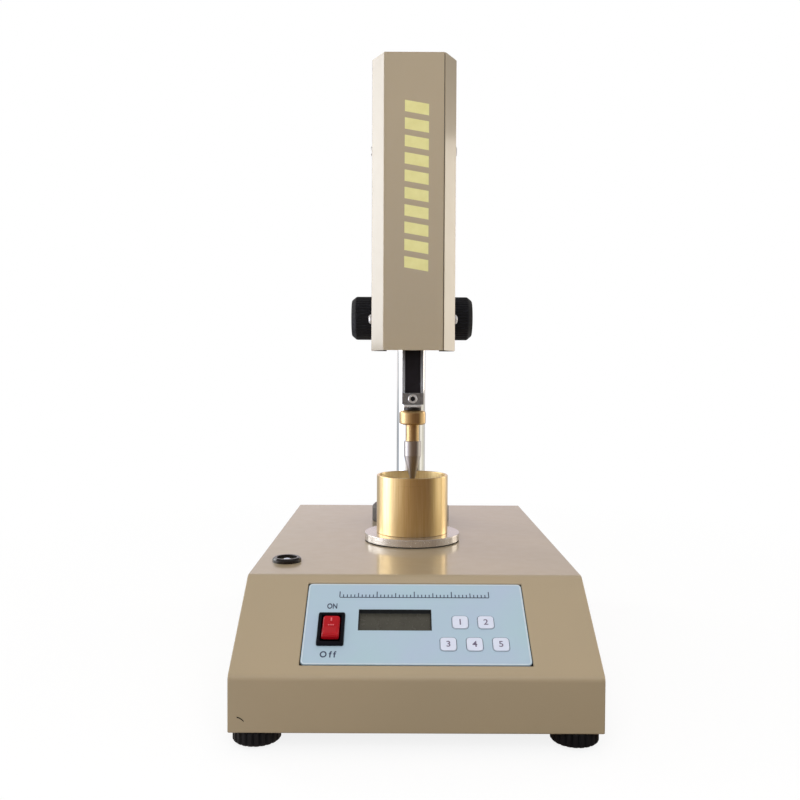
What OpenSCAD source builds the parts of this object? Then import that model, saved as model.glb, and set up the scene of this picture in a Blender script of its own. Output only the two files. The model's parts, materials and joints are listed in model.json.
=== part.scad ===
// Soil cone penetrometer: a falling cone on a measuring beam, a sample cup on a round platform,
// a rack-and-pinion head on a column, and a folded sheet base with a sloped control panel.
// Millimetres, +Z up, front panel towards -Y, origin on the bench under the middle of the footprint.

/* [Base] */
// Width of the base
base_w = 210; // [190:1:260]
// Depth of the base, front fascia to back wall
base_d = 350; // [335:1:420]
// Height of the vertical front fascia
fascia_h = 31.7; // [26:0.1:50]
// Depth that the sloped panel covers
slope_run = 64.3; // [60:0.1:80]
// Height that the sloped panel climbs
slope_rise = 41.7; // [38:0.1:60]
// Thickness of the base's sheet
sheet_t = 1.5; // [1:0.1:2.5]
// Thickness of the bottom pan
pan_t = 1.5; // [1:0.1:3]
// Thickness of the plate that stiffens the top under the column
stiffener_t = 5; // [3:0.5:10]
// Side of that square plate
stiffener_w = 110; // [90:1:130]

/* [Control panel] */
// Width of the printed overlay
panel_w = 131; // [128:1:160]
// Length of the overlay along the slope
panel_l = 60.6; // [60:0.1:63]
// Distance from the top bend down to the overlay
panel_top = 7.4; // [6:0.1:9]
// Radius of the overlay's corners
panel_r = 2.5; // [1:0.1:6]
// Thickness of the overlay
overlay_t = 1.3; // [0.6:0.1:1.4]
// Thickness of the backing plate
plate_t = 1.5; // [1:0.1:2.5]
// Width of the switch bezel
switch_w = 15.8; // [14.5:0.1:17]
// Length of the switch bezel
switch_l = 23.6; // [22.6:0.1:24.6]
// Switch centre, across from the middle
switch_x = -49.7; // [-52:0.1:-48]
// Switch centre, down from the top bend
switch_down = 43.3; // [41:0.1:44]
// Width of the rocker
rocker_w = 9.4; // [8:0.1:10]
// Length of the rocker
rocker_l = 16.8; // [14:0.1:17.2]
// Tilt of the rocker each side of its middle, degrees
rocker_tilt = 9; // [5:0.5:11]
// Width of the display window
lcd_w = 43.5; // [36:0.1:46]
// Height of the display window
lcd_l = 16; // [12:0.1:20]
// Display centre, across from the middle
lcd_x = -12.2; // [-14:0.1:-11]
// Display centre, down from the top bend
lcd_down = 35.7; // [33:0.1:38]
// Side of a square key
key_size = 9.3; // [7:0.1:11]
// Spacing of the keys in a row
key_pitch = 15.2; // [13:0.1:17]
// First key of the upper row, across from the middle
key_row1_x = 26.4; // [25:0.1:28]
// First key of the lower row, across from the middle
key_row2_x = 18.7; // [17.5:0.1:20]
// Upper row of keys, down from the top bend
key_row1_down = 37.5; // [36:0.1:39]
// Lower row of keys, down from the top bend
key_row2_down = 53.6; // [52:0.1:55]
// Travel of a key
key_travel = 0.6; // [0.3:0.1:0.7]

/* [Feet] */
// Diameter of a fluted levelling foot
foot_d = 27.6; // [24:0.1:34]
// Height of the base's underside above the bench
foot_gap = 10; // [9:0.1:16]
// Foot centre in from the base's side
foot_in_x = 14.3; // [14:0.1:24]
// Foot centre in from the base's front and back
foot_in_y = 14; // [14:0.1:28]
// Diameter of a foot's threaded stud
stud_d = 8; // [6:0.5:10]
// Length of the stud above the foot
stud_l = 26; // [20:1:34]
// Diameter of the rubber pad under a foot
pad_d = 17; // [12:0.5:20]

/* [Platform and cup] */
// Cup axis behind the front fascia
cup_from_front = 180; // [170:1:190]
// Diameter of the platform
platform_d = 72; // [62:0.5:90]
// Height of the platform
platform_h = 6.2; // [5:0.1:12]
// Outer diameter of the cup
cup_d = 54; // [48:0.5:60]
// Wall of the cup
cup_wall = 2; // [1.5:0.1:4]
// Outer height of the cup
cup_h = 43.5; // [38:0.5:50]
// Floor of the cup
cup_floor = 3.5; // [3:0.1:6]
// Diameter of the register that centres the cup
register_d = 22; // [14:0.5:30]

/* [Level] */
// Diameter of the round level
level_d = 19.4; // [17:0.1:26]
// Height of the level above the top
level_h = 3; // [2:0.1:5]
// Level centre in from the base's left side
level_in_x = 19.7; // [16:0.1:30]
// Level centre behind the front fascia
level_from_front = 102.6; // [95:0.1:125]

/* [Column] */
// Diameter of the column
column_d = 24.5; // [22:0.5:28]
// Column axis behind the front fascia
column_from_front = 269; // [262:1:280]
// Height of the column above the top
column_h = 318; // [300:1:330]
// Diameter of the flange at the column's foot
flange_d = 66; // [56:0.5:76]
// Height of the flange
flange_h = 14; // [10:0.5:20]

/* [Head] */
// Lower edge of the head above the base's top
head_clear = 143.6; // [136:0.1:160]
// Height of the head cover
head_h = 215; // [200:1:230]
// Width of the flat front
head_front_w = 44.2; // [40:0.1:50]
// Width of each bevelled edge, seen from the front
head_bevel_w = 9.2; // [7:0.1:12]
// Depth of each bevelled edge
head_bevel_d = 17; // [12:0.1:20]
// Depth of the flat sides
head_side_d = 15; // [13:0.1:20]
// Front of the head ahead of the cone's axis
head_ahead = 25; // [23:0.1:26]
// Sheet of the head cover
head_t = 1.2; // [0.8:0.1:2]
// Wall of the head's inner frame
frame_t = 3; // [2:0.1:3.5]
// Width of the notch in the frame's lower edge
notch_w = 40; // [34:1:44]

/* [Lift] */
// Diameter of a knob
knob_d = 36; // [30:0.5:40]
// Length of a knob
knob_l = 20.5; // [16:0.5:24]
// Outer end of a knob from the middle
knob_reach = 50; // [46:0.5:56]
// Knob axis above the head's lower edge
knob_up = 29; // [27:0.5:34]
// Module of the rack and pinion
gear_m = 1; // [0.8:0.05:1.1]
// Teeth of the pinion
gear_teeth = 20; // [18:1:22]
// Diameter of the knob shaft
shaft_d = 8; // [6:0.5:9]
// Width of the carriage's arm
arm_w = 44; // [40:1:48]
// Height of the carriage
carriage_h = 60; // [52:1:70]

/* [Cone and beam] */
// Width of the measuring beam
beam_w = 16.4; // [14:0.1:18]
// Thickness of the measuring beam
beam_t = 2.4; // [1.6:0.1:3]
// Width of the black scale strip
strip_w = 11.7; // [8:0.1:13]
// Distance from the head's lower edge down to the beam's end
beam_below = 40.5; // [34:0.1:44]
// Height of the clamp plate at the beam's end
clamp_h = 8.8; // [8:0.1:12]
// Diameter of the steel neck over the collar
neck_d = 16; // [13:0.1:18]
// Height of the neck
neck_h = 4.5; // [3.5:0.1:7]
// Diameter of the brass collar
collar_d = 20; // [17:0.1:24]
// Height of the brass collar
collar_h = 10.8; // [8:0.1:14]
// Diameter of the knurled shank
shank_d = 10; // [8:0.1:11]
// Length of the knurled shank
shank_h = 12.5; // [10:0.1:14]
// Diameter of the cone
cone_d = 13; // [12:0.1:15]
// Straight length over the cone
cone_land = 11; // [8:0.1:13]
// Angle of the cone's tip, degrees
cone_angle = 30; // [28:1:45]
// Longest fall of the cone
cone_fall = 22; // [18:0.5:24]

/* [Rear inlet] */
// Width of the mains inlet's flange
inlet_w = 31; // [29:0.5:36]
// Height of the mains inlet's flange
inlet_h = 25; // [23:0.5:30]
// Thickness of that flange
inlet_t = 2.4; // [1.5:0.1:4]
// Inlet centre in from the base's right side
inlet_in_x = 45; // [35:1:55]
// Inlet centre above the base's underside
inlet_up = 38; // [32:1:44]

/* [Hidden] */
$fn = 64;
// Clearances: running fit, seat of a fixed piece, free gap, step under ribs, hole for a screw
run_fit = 0.05;
seat_fit = 0.02;
gap = 0.3;
rib_step = 0.1;
screw_play = 0.25;
eps = 0.01;

// Levels and places
slope_angle = atan(slope_rise / slope_run);
z_base = foot_gap;
z_fascia = z_base + fascia_h;
z_top = z_fascia + slope_rise;
y_front = -(base_d + inlet_t) / 2;
y_back = y_front + base_d;
y_bend = y_front + slope_run;
cup_y = y_front + cup_from_front;
column_y = y_front + column_from_front;
z_platform = z_top + platform_h;

// Base fittings
pan_gap = 0.5;
tab_l = 16;
tab_w = 18;
tab_places = [-0.36, 0, 0.36];
screw_d = 4;
screw_head_d = 7;
screw_head_h = 2.2;
post_d = 7;
post_h = 8;
board = [110, 90, 1.6];
board_at = [30, -52];
chip = [36, 14, 4];
chip_at = [-20, 10];
driver = [18, 18, 3];
driver_at = [25, -15];
capacitor_d = 10;
capacitor_h = 14;
capacitors_at = [[-35, -25], [-17, -25], [1, -25]];
core = [58, 40, 48];
coil = [36, 58, 32];
core_in_x = 53;
core_at = [core_in_x - base_w / 2, 96];

// Control panel layers, measured down from the slope's surface
overlay_top = -(sheet_t - overlay_t);
plate_top = -sheet_t;
plate_low = plate_top - plate_t;
plate_margin = 5;
panel_play = 0.6;
panel_mid = panel_top + panel_l / 2;
bezel_h = 2;
bezel_rim = 2.2;
switch_depth = 16;
switch_step = 1.1;
rocker_rise = 3.4;
rocker_dip = 1.3;
rocker_root = 4;
well_below = 3;
pivot_w = overlay_top + 0.4;
rocker_pin_d = 2.4;
lcd_frame = 3;
lcd_deep = 5;
lcd_board_t = 1.6;
lcd_board_over = 3;
key_r = 1.6;
key_rise = 0.5;
key_cap_t = 1;
key_play = 0.35;
key_stem_d = 4;
key_stem_l = 3.2;
key_board_t = 1.6;
button_d = 3.4;
button_h = 1.4;
key_board_edge = 3.2;
keys = [
    [key_row1_x, key_row1_down],
    [key_row1_x + key_pitch, key_row1_down],
    [key_row2_x, key_row2_down],
    [key_row2_x + key_pitch, key_row2_down],
    [key_row2_x + 2 * key_pitch, key_row2_down],
];
key_z = overlay_top + key_rise - key_cap_t;
key_board_top = key_z - key_stem_l - key_travel - gap - button_h;

// Feet
foot_x = base_w / 2 - foot_in_x;
foot_y = base_d / 2 - foot_in_y;
foot_mid_y = y_front + base_d / 2;
foot_low = 1.8;
foot_top = z_base - gap;
foot_flutes = 22;
flute_deep = 1.1;
foot_round = 0.8;
pad_h = 2;
pivot_d = 5;
pivot_h = 2.5;
nut_d = stud_d * 1.85;
nut_h = stud_d * 0.8;

// Column and flange
column_r = column_d / 2;
ledge_h = 4;
spigot_d = 16;
column_nut_d = spigot_d * 1.7;
column_nut_h = 10;
flange_round = 2;
flange_screws_n = 3;
flange_screw_r = (column_d + flange_d) / 4;

// Platform, cup and level
register_h = 1;
platform_foot = 0.8;
platform_chamfer = 0.5;
platform_screw_d = 8;
level_stem_d = level_d - 4;
level_wall = 1.3;
level_deep = 6;
level_floor = 1;
level_x = -base_w / 2 + level_in_x;
level_y = y_front + level_from_front;

// Head
head_w = head_front_w + 2 * head_bevel_w;
head_y = cup_y - head_ahead;
head_back = head_y + head_bevel_d + head_side_d;
z_head = z_top + head_clear;
head_top = z_head + head_h;
frame_w = head_w - 2 * head_t - 2 * gap;
web_y = head_back - frame_t;
notch_h = 12;
screw_above_edge = 24;
screw_below_top = 65;
side_screw_up = [screw_above_edge, head_h - screw_below_top];
side_screw_y = head_y + head_bevel_d + head_side_d / 2;

// Measuring beam, cone and magnet, from the beam's lower end
beam_y = cup_y;
beam_front = beam_y - beam_t / 2;
beam_back = beam_y + beam_t / 2;
strip_t = 0.6;
z_beam = z_head - beam_below;
z_collar = z_beam - neck_h - collar_h;
z_shank = z_collar - shank_h;
z_land = z_shank - cone_land;
cone_l = cone_d / 2 / tan(cone_angle / 2);
clamp_t = 3.4;
lip_w = 12.4;
lip_h = 2.2;
lip_t = 1.4;
collar_round = 1;
spike_d = 5;
spike_l = 8;
guide_up = 12;
guide_h = 28;
guide_w = beam_w + 6;
reader_w = 40;
reader_h = 40;
reader_t = 11;
armature_t = 4;
armature_d = 16;
beam_top = z_head + guide_up + reader_h + cone_fall + 1;
magnet_d = 20;
magnet_h = 28;
magnet_y = web_y - magnet_d / 2 - 2;
z_magnet = beam_top + armature_t + gap;
shelf_w = 26;

// Lift: the rack sits in a groove in the column's front
gear_r = gear_m * gear_teeth / 2;
tooth_pitch = PI * gear_m;
backlash = 0.16;
dedendum = 1.25 * gear_m;
rack_w = 8;
rack_tip = 1.2;
rack_back = 2.4;
rack_line = column_r - rack_tip - gear_m;
rack_below = 6;
rack_above = 20;
gear_w = rack_w - 2 * gap;
knob_y = column_y - rack_line - gear_r;
z_knob = z_head + knob_up;
carriage_up = 5;
z_carriage = z_head + carriage_up;
boss_wall = 10;
boss_d = column_d + 2 * boss_wall;
bush_wall = 2.75;
shaft_bush_wall = 2;
shaft_bush_l = 8;
pocket_w = gear_w + 3;
pocket_r = gear_r + gear_m + 1;
bush_l = knob_up - carriage_up - pocket_r;
knob_ribs = 44;
knob_rib = 0.5;
knob_dome = 5;
knob_hub_d = 17;
arm_screw_x = (guide_w + screw_head_d) / 2 + 1;
arm_screw_in = 12;
arm_screw_up = [arm_screw_in, carriage_h - arm_screw_in];

// Rear inlet
inlet_x = base_w / 2 - inlet_in_x;
inlet_lip = 2;
inlet_deep = 20;
socket_w = 24.4;
socket_h = 17;
socket_deep = 15;
blade = [2, 10, 4];
blade_spread = 7;
blade_step = 2;

feet = [
    ["front_left", -1, -1], ["front_right", 1, -1],
    ["back_left", -1, 1], ["back_right", 1, 1],
];

// Outline of the base seen from its side, moved inwards by a sheet thickness
function base_outline(inset, low) = [
    [y_front + inset, low],
    [y_front + inset, z_fascia - inset * (1 - sin(slope_angle)) / cos(slope_angle)],
    [y_bend + inset * tan(slope_angle / 2), z_top - inset],
    [y_back - inset, z_top - inset],
    [y_back - inset, low],
];

// Outline of the head seen from above, moved inwards by a sheet thickness
bevel_angle = atan(head_bevel_w / head_bevel_d);
function head_side(inset) = let (
        front_x = head_front_w / 2 - inset * tan((90 - bevel_angle) / 2),
        side_y = head_y + head_bevel_d + inset * tan(bevel_angle / 2)
    ) [[front_x, head_y + inset], [head_w / 2 - inset, side_y]];
function head_outline(inset, back) = let (p = head_side(inset)) [
    p[0], p[1], [p[1][0], back], [-p[1][0], back], [-p[1][0], p[1][1]], [-p[0][0], p[0][1]],
];

// Involute flank of the pinion, as [radius, angle] pairs
pressure = 20;
base_r = gear_r * cos(pressure);
function roll(r) = sqrt(max(0, pow(r / base_r, 2) - 1));
function involute(r) = roll(r) * 180 / PI - atan(roll(r));
function half_tooth(r) = (tooth_pitch / 2 - backlash) / (2 * gear_r) * 180 / PI
    + involute(gear_r) - involute(r);
flank = [for (k = [0 : 4]) max(base_r, gear_r - dedendum) + k / 4 * (gear_r + gear_m
    - max(base_r, gear_r - dedendum))];
function polar(r, a) = [r * cos(a), r * sin(a)];
function gear_points() = [
    for (i = [0 : gear_teeth - 1])
        let (mid = (i + 0.5) * 360 / gear_teeth)
            each concat(
                [polar(gear_r - dedendum, mid - half_tooth(flank[0]))],
                [for (r = flank) polar(r, mid - half_tooth(r))],
                [for (k = [4 : -1 : 0]) polar(flank[k], mid + half_tooth(flank[k]))],
                [polar(gear_r - dedendum, mid + half_tooth(flank[0]))]
            )
];

// Rack teeth, one of them level with the pinion's axis
rack_half = tooth_pitch / 4 - backlash / 2;
function rack_tooth(z) = [
    [-dedendum, z - rack_half - dedendum * tan(pressure)],
    [gear_m, z - rack_half + gear_m * tan(pressure)],
    [gear_m, z + rack_half - gear_m * tan(pressure)],
    [-dedendum, z + rack_half + dedendum * tan(pressure)],
];
function rack_points() = concat(
    [[-dedendum - rack_back, -(rack_below + 0.5) * tooth_pitch]],
    [[-dedendum, -(rack_below + 0.5) * tooth_pitch]],
    [for (i = [-rack_below : rack_above]) each rack_tooth(i * tooth_pitch)],
    [[-dedendum, (rack_above + 0.5) * tooth_pitch]],
    [[-dedendum - rack_back, (rack_above + 0.5) * tooth_pitch]]
);

// Round outline with shallow ribs
function ribbed(r, n, deep) = [
    for (i = [0 : n - 1]) each [
        polar(r - deep, (i - 0.32) * 360 / n),
        polar(r, (i - 0.2) * 360 / n),
        polar(r, (i + 0.2) * 360 / n),
        polar(r - deep, (i + 0.32) * 360 / n),
    ]
];

// Places a child by its side view: outline in Y and Z, drawn along X about the middle
module along_x(w) {
    translate([-w / 2, 0, 0])
        rotate([90, 0, 90])
            linear_extrude(w) children();
}

module at_cup(z) {
    translate([0, cup_y, z]) children();
}

module at_column(z) {
    translate([0, column_y, z]) children();
}

// Local frame on the slope: X across, Y up the slope, Z out of it
module on_panel(x, down, out) {
    translate([0, y_bend, z_top])
        rotate([slope_angle, 0, 0])
            translate([x, -down, out]) children();
}

module slab(w, l, t) {
    translate([-w / 2, -l / 2, 0]) cube([w, l, t]);
}

module rounded_slab(w, l, t, r) {
    slab(w - 2 * r, l, t);
    slab(w, l - 2 * r, t);
    for (x = [-1, 1], y = [-1, 1])
        translate([x * (w / 2 - r), y * (l / 2 - r), 0]) cylinder(h = t, r = r);
}

module ring(d, bore, h) {
    difference() {
        cylinder(h = h, d = d);
        translate([0, 0, -eps]) cylinder(h = h + 2 * eps, d = bore);
    }
}

// Pan-head screw standing on z = 0 with its head below
module pan_screw(d, head_d, head_h, l) {
    rotate_extrude()
        polygon([[0, -head_h], [head_d * 0.34, -head_h], [head_d / 2, -head_h * 0.45],
            [head_d / 2, 0], [d / 2, 0], [d / 2, l], [0, l]]);
}

module hex_nut(d, bore, h) {
    difference() {
        cylinder(h = h, d = d, $fn = 6);
        translate([0, 0, -eps]) cylinder(h = h + 2 * eps, d = bore);
    }
}

module at_foot(side_x, side_y) {
    translate([side_x * foot_x, foot_mid_y + side_y * foot_y, 0]) children();
}

module at_tabs() {
    for (side = [-1, 1], place = tab_places)
        translate([side * (base_w / 2 - sheet_t - tab_l / 2), foot_mid_y + place * base_d, 0])
            children();
}

// Holes that the switch, display and keys need in a panel layer
module panel_holes(t, key_hole) {
    on_panel(switch_x, switch_down, -t)
        slab(switch_w - 2 * switch_step + gap, switch_l - 2 * switch_step + gap, t + 1);
    on_panel(lcd_x, lcd_down, -t) slab(lcd_w, lcd_l, t + 1);
    for (k = keys)
        on_panel(k[0], k[1], -t) slab(key_hole, key_hole, t + 1);
}

module base_cover() color("tan") {
    difference() {
        along_x(base_w) polygon(base_outline(0, z_base));
        along_x(base_w - 2 * sheet_t) polygon(base_outline(sheet_t, z_base - 1));
        on_panel(0, panel_mid, -sheet_t - 1)
            slab(panel_w + panel_play, panel_l + panel_play, sheet_t + 2);
        at_column(z_top - sheet_t - 1) cylinder(h = sheet_t + 2, d = spigot_d + 2 * screw_play);
        at_flange_screws(z_top - sheet_t - 1)
            cylinder(h = sheet_t + 2, d = screw_d + 2 * screw_play);
        at_cup(z_top - sheet_t - 1)
            cylinder(h = sheet_t + 2, d = platform_screw_d + 2 * screw_play);
        translate([level_x, level_y, z_top - sheet_t - 1])
            cylinder(h = sheet_t + 2, d = level_stem_d + 2 * screw_play);
        translate([inlet_x, y_back, z_base + inlet_up])
            cube([inlet_w - 2 * inlet_lip + gap, 4 * sheet_t, inlet_h - 2 * inlet_lip + gap],
                center = true);
    }
    difference() {
        at_tabs() translate([0, 0, z_base + pan_t]) slab(tab_l, tab_w, sheet_t);
        at_tabs() cylinder(h = z_top, d = screw_d + 2 * screw_play);
    }
}

module base_pan() color("dimgray") {
    difference() {
        translate([0, foot_mid_y, z_base])
            slab(base_w - 2 * sheet_t - 2 * pan_gap, base_d - 2 * sheet_t - 2 * pan_gap, pan_t);
        for (f = feet)
            at_foot(f[1], f[2]) cylinder(h = z_top, d = stud_d + 1);
        at_tabs() cylinder(h = z_top, d = screw_d + 2 * screw_play);
    }
    at_posts() cylinder(h = post_h, d = post_d);
}

module at_posts() {
    for (x = [-1, 1], y = [-1, 1])
        translate([board_at[0] + x * (board[0] / 2 - post_d), board_at[1] + y * (board[1] / 2 - post_d),
            z_base + pan_t]) children();
}

module pan_screws() color("silver") {
    at_tabs() translate([0, 0, z_base])
        pan_screw(screw_d, screw_head_d, screw_head_h, pan_t + sheet_t + 3);
}

module panel_plate() color("dimgray") {
    difference() {
        on_panel(0, panel_mid, plate_low)
            slab(panel_w + 2 * plate_margin, panel_l + 2 * plate_margin, plate_t);
        panel_holes(sheet_t + plate_t + 1, key_stem_d + 2 * key_play);
    }
}

module panel_overlay() color("lightsteelblue") {
    difference() {
        on_panel(0, panel_mid, plate_top) rounded_slab(panel_w, panel_l, overlay_t, panel_r);
        panel_holes(sheet_t + 1, key_size + 2 * key_play);
    }
}

module switch_housing() color("black") {
    open_w = switch_w - 2 * bezel_rim;
    open_l = switch_l - 2 * bezel_rim;
    on_panel(switch_x, switch_down, 0)
        difference() {
            union() {
                translate([0, 0, overlay_top]) slab(switch_w, switch_l, bezel_h);
                translate([0, 0, overlay_top - switch_depth])
                    slab(switch_w - 2 * switch_step, switch_l - 2 * switch_step,
                        switch_depth + eps);
            }
            translate([0, 0, pivot_w - rocker_root - well_below])
                slab(open_w, open_l, bezel_h + rocker_root + 2 * well_below);
            translate([0, 0, pivot_w]) rotate([0, 90, 0])
                cylinder(h = open_w + 2, d = rocker_pin_d + 2 * run_fit, center = true);
        }
}

// Rocker, drawn level about its pin and set down at its upper end
module switch_rocker() color("crimson") {
    half = rocker_l / 2;
    on_panel(switch_x, switch_down, pivot_w) rotate([-rocker_tilt, 0, 0]) {
        along_x(rocker_w)
            polygon([[-half, 0], [-half, rocker_rise], [0, rocker_rise - rocker_dip],
                [half, rocker_rise], [half, 0], [half / 2, -rocker_root], [-half / 2, -rocker_root]]);
        rotate([0, 90, 0])
            cylinder(h = switch_w - 2 * bezel_rim + 1.6, d = rocker_pin_d, center = true);
    }
}

module lcd_module() color("darkslategray") {
    on_panel(lcd_x, lcd_down, 0) {
        difference() {
            translate([0, 0, plate_low - lcd_deep])
                slab(lcd_w + 2 * lcd_frame, lcd_l + 2 * lcd_frame, lcd_deep);
            translate([0, 0, plate_low - lcd_deep - 1])
                slab(lcd_w + 2 * gap, lcd_l + 2 * gap, lcd_deep + 2);
        }
        translate([0, 0, plate_low - lcd_deep - lcd_board_t])
            slab(lcd_w + 2 * lcd_frame, lcd_l + 2 * lcd_frame + 2 * lcd_board_over, lcd_board_t);
    }
}

module lcd_glass() color("darkolivegreen") {
    on_panel(lcd_x, lcd_down, plate_low - lcd_deep) slab(lcd_w, lcd_l, lcd_deep - gap);
}

// Board behind the keys, with a push switch under each and four posts up to the plate
module key_board() color("darkgreen") {
    left = keys[2][0] - key_size / 2;
    right = keys[4][0] + key_size / 2;
    high = key_row1_down - key_size / 2;
    low = key_row2_down + key_size / 2;
    mid = [(left + right) / 2, (high + low) / 2];
    size = [right - left, low - high];
    on_panel(mid[0], mid[1], key_board_top - key_board_t) slab(size[0], size[1], key_board_t);
    for (k = keys)
        on_panel(k[0], k[1], key_board_top - eps) cylinder(h = button_h + eps, d = button_d);
    for (x = [-1, 1], y = [-1, 1])
        on_panel(mid[0] + x * (size[0] - key_board_edge) / 2,
            mid[1] + y * (size[1] - key_board_edge) / 2, key_board_top - eps)
            cylinder(h = plate_low - key_board_top + eps, d = key_board_edge);
}

module key_cap(i) color("white") {
    on_panel(keys[i][0], keys[i][1], key_z) {
        rounded_slab(key_size, key_size, key_cap_t, key_r);
        translate([0, 0, -key_stem_l]) cylinder(h = key_stem_l + eps, d = key_stem_d);
    }
}

module at_flange_screws(z) {
    for (i = [0 : flange_screws_n - 1])
        at_column(z) rotate([0, 0, 90 + i * 360 / flange_screws_n])
            translate([flange_screw_r, 0, 0]) children();
}

module stiffener() color("gray") {
    difference() {
        at_column(z_top - sheet_t - stiffener_t) slab(stiffener_w, stiffener_w, stiffener_t);
        at_column(z_base) cylinder(h = z_top, d = spigot_d + 2 * screw_play);
        at_flange_screws(z_base) cylinder(h = z_top, d = screw_d + 2 * seat_fit);
    }
}

module column_flange() color("black") {
    difference() {
        at_column(z_top)
            rotate_extrude()
                polygon([[0, 0], [flange_d / 2, 0], [flange_d / 2, flange_h - flange_round],
                    [flange_d / 2 - flange_round, flange_h], [0, flange_h]]);
        at_column(z_top - 1) cylinder(h = flange_h + 2, d = spigot_d + 2 * screw_play);
        at_column(z_top + ledge_h) cylinder(h = flange_h, d = column_d + 2 * seat_fit);
        at_flange_screws(z_top - 1) cylinder(h = flange_h + 2, d = screw_d + 2 * screw_play);
        at_flange_screws(z_top + flange_h / 2)
            cylinder(h = flange_h, d = screw_head_d + 4 * screw_play);
    }
}

module flange_screws() color("dimgray") {
    at_flange_screws(z_top + flange_h / 2) {
        difference() {
            cylinder(h = screw_d, d = screw_head_d);
            translate([0, 0, screw_d / 2]) cylinder(h = screw_d, d = screw_d * 0.85, $fn = 6);
        }
        translate([0, 0, -flange_h / 2 - sheet_t - stiffener_t])
            cylinder(h = flange_h / 2 + sheet_t + stiffener_t + eps, d = screw_d);
    }
}

module column() color("gainsboro") {
    difference() {
        union() {
            at_column(z_top + ledge_h)
                rotate_extrude()
                    polygon([[0, 0], [column_r, 0], [column_r, column_h - ledge_h - 1],
                        [column_r - 1, column_h - ledge_h], [0, column_h - ledge_h]]);
            at_column(z_top - sheet_t - stiffener_t - column_nut_h - 3)
                cylinder(h = column_nut_h + stiffener_t + sheet_t + ledge_h + 4, d = spigot_d);
        }
        translate([-rack_w / 2, column_y - column_d, z_knob - (rack_below + 0.5) * tooth_pitch])
            cube([rack_w, column_d - rack_line + dedendum + rack_back,
                (rack_below + rack_above + 1) * tooth_pitch]);
    }
}

module column_nut() color("silver") {
    at_column(z_top - sheet_t - stiffener_t - column_nut_h)
        hex_nut(column_nut_d, spigot_d + 2 * seat_fit, column_nut_h);
}

module column_rack() color("silver") {
    translate([0, column_y - rack_line, z_knob])
        along_x(rack_w)
            mirror([1, 0, 0]) polygon(rack_points());
}

module platform() color("silver") {
    outer = platform_d / 2;
    difference() {
        at_cup(z_top)
            rotate_extrude()
                polygon([[0, 0], [outer - platform_foot, 0], [outer - platform_foot, platform_foot],
                    [outer, platform_foot], [outer, platform_h - platform_chamfer],
                    [outer - platform_chamfer, platform_h], [register_d / 2, platform_h],
                    [register_d / 2, platform_h + register_h], [0, platform_h + register_h]]);
        at_cup(z_top - 1)
            cylinder(h = platform_h, d = platform_screw_d + 2 * seat_fit);
    }
}

module platform_screw() color("dimgray") {
    at_cup(z_top - sheet_t)
        pan_screw(platform_screw_d, 2 * platform_screw_d, platform_screw_d / 2,
            sheet_t + platform_h - 1.5);
}

module level_bezel() color("black") {
    translate([level_x, level_y, z_top])
        difference() {
            rotate_extrude()
                polygon([[0, -level_deep], [level_stem_d / 2, -level_deep], [level_stem_d / 2, 0],
                    [level_d / 2, 0], [level_d / 2, level_h * 0.6], [level_d / 2 - 1, level_h],
                    [0, level_h]]);
            translate([0, 0, level_floor - level_deep])
                cylinder(h = level_h + 2 * level_deep, d = level_stem_d - 2 * level_wall);
        }
}

module level_vial() color("yellowgreen") {
    r = level_stem_d / 2 - level_wall - seat_fit;
    translate([level_x, level_y, z_top])
        rotate_extrude()
            polygon([[0, level_floor - level_deep], [r, level_floor - level_deep],
                [r, level_h * 0.3], [r * 0.8, level_h * 0.5], [0, level_h * 0.6]]);
}

module main_board() color("darkgreen") {
    at = [board_at[0], board_at[1], z_base + pan_t + post_h];
    translate(at) slab(board[0], board[1], board[2]);
    translate(at + [chip_at[0], chip_at[1], board[2] - eps]) slab(chip[0], chip[1], chip[2]);
    translate(at + [driver_at[0], driver_at[1], board[2] - eps]) slab(driver[0], driver[1], driver[2]);
    for (c = capacitors_at)
        translate(at + [c[0], c[1], board[2] - eps]) cylinder(h = capacitor_h, d = capacitor_d);
}

module transformer() color("peru") {
    translate([core_at[0], core_at[1], z_base + pan_t]) {
        slab(core[0], core[1], core[2]);
        translate([0, 0, (core[2] - coil[2]) / 2]) slab(coil[0], coil[1], coil[2]);
    }
}

module power_inlet() color("black") {
    translate([inlet_x, y_back, z_base + inlet_up]) {
        difference() {
            union() {
                translate([0, inlet_t / 2, 0]) cube([inlet_w, inlet_t, inlet_h], center = true);
                translate([0, -inlet_deep / 2 + eps, 0])
                    cube([inlet_w - 2 * inlet_lip, inlet_deep, inlet_h - 2 * inlet_lip],
                        center = true);
            }
            translate([0, inlet_t - socket_deep / 2, 0])
                cube([socket_w, socket_deep + eps, socket_h], center = true);
        }
        for (p = [[-blade_spread, -blade_step], [0, blade_step], [blade_spread, -blade_step]])
            translate([p[0], inlet_t - socket_deep + blade[1] / 2 - eps, p[1]])
                cube(blade, center = true);
    }
}

module foot_nuts() color("silver") {
    for (f = feet)
        at_foot(f[1], f[2]) translate([0, 0, z_base + pan_t])
            hex_nut(nut_d, stud_d + 2 * run_fit, nut_h);
}

// Fluted wheel moulded on its stud, with a seat for the pad underneath
module foot(i) color("black") {
    root_r = foot_d / 2 - flute_deep - rib_step;
    at_foot(feet[i][1], feet[i][2])
        difference() {
            union() {
                translate([0, 0, foot_low + foot_round])
                    linear_extrude(foot_top - foot_low - foot_round)
                        polygon(ribbed(foot_d / 2, foot_flutes, flute_deep));
                translate([0, 0, foot_low])
                    cylinder(h = foot_round + eps, r1 = root_r - foot_round, r2 = root_r);
                translate([0, 0, foot_top - eps]) cylinder(h = stud_l, d = stud_d);
            }
            translate([0, 0, -eps]) cylinder(h = pad_h + gap, d = pad_d + 2 * gap);
            cylinder(h = pad_h + pivot_h + gap, d = pivot_d + 2 * run_fit);
        }
}

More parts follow.
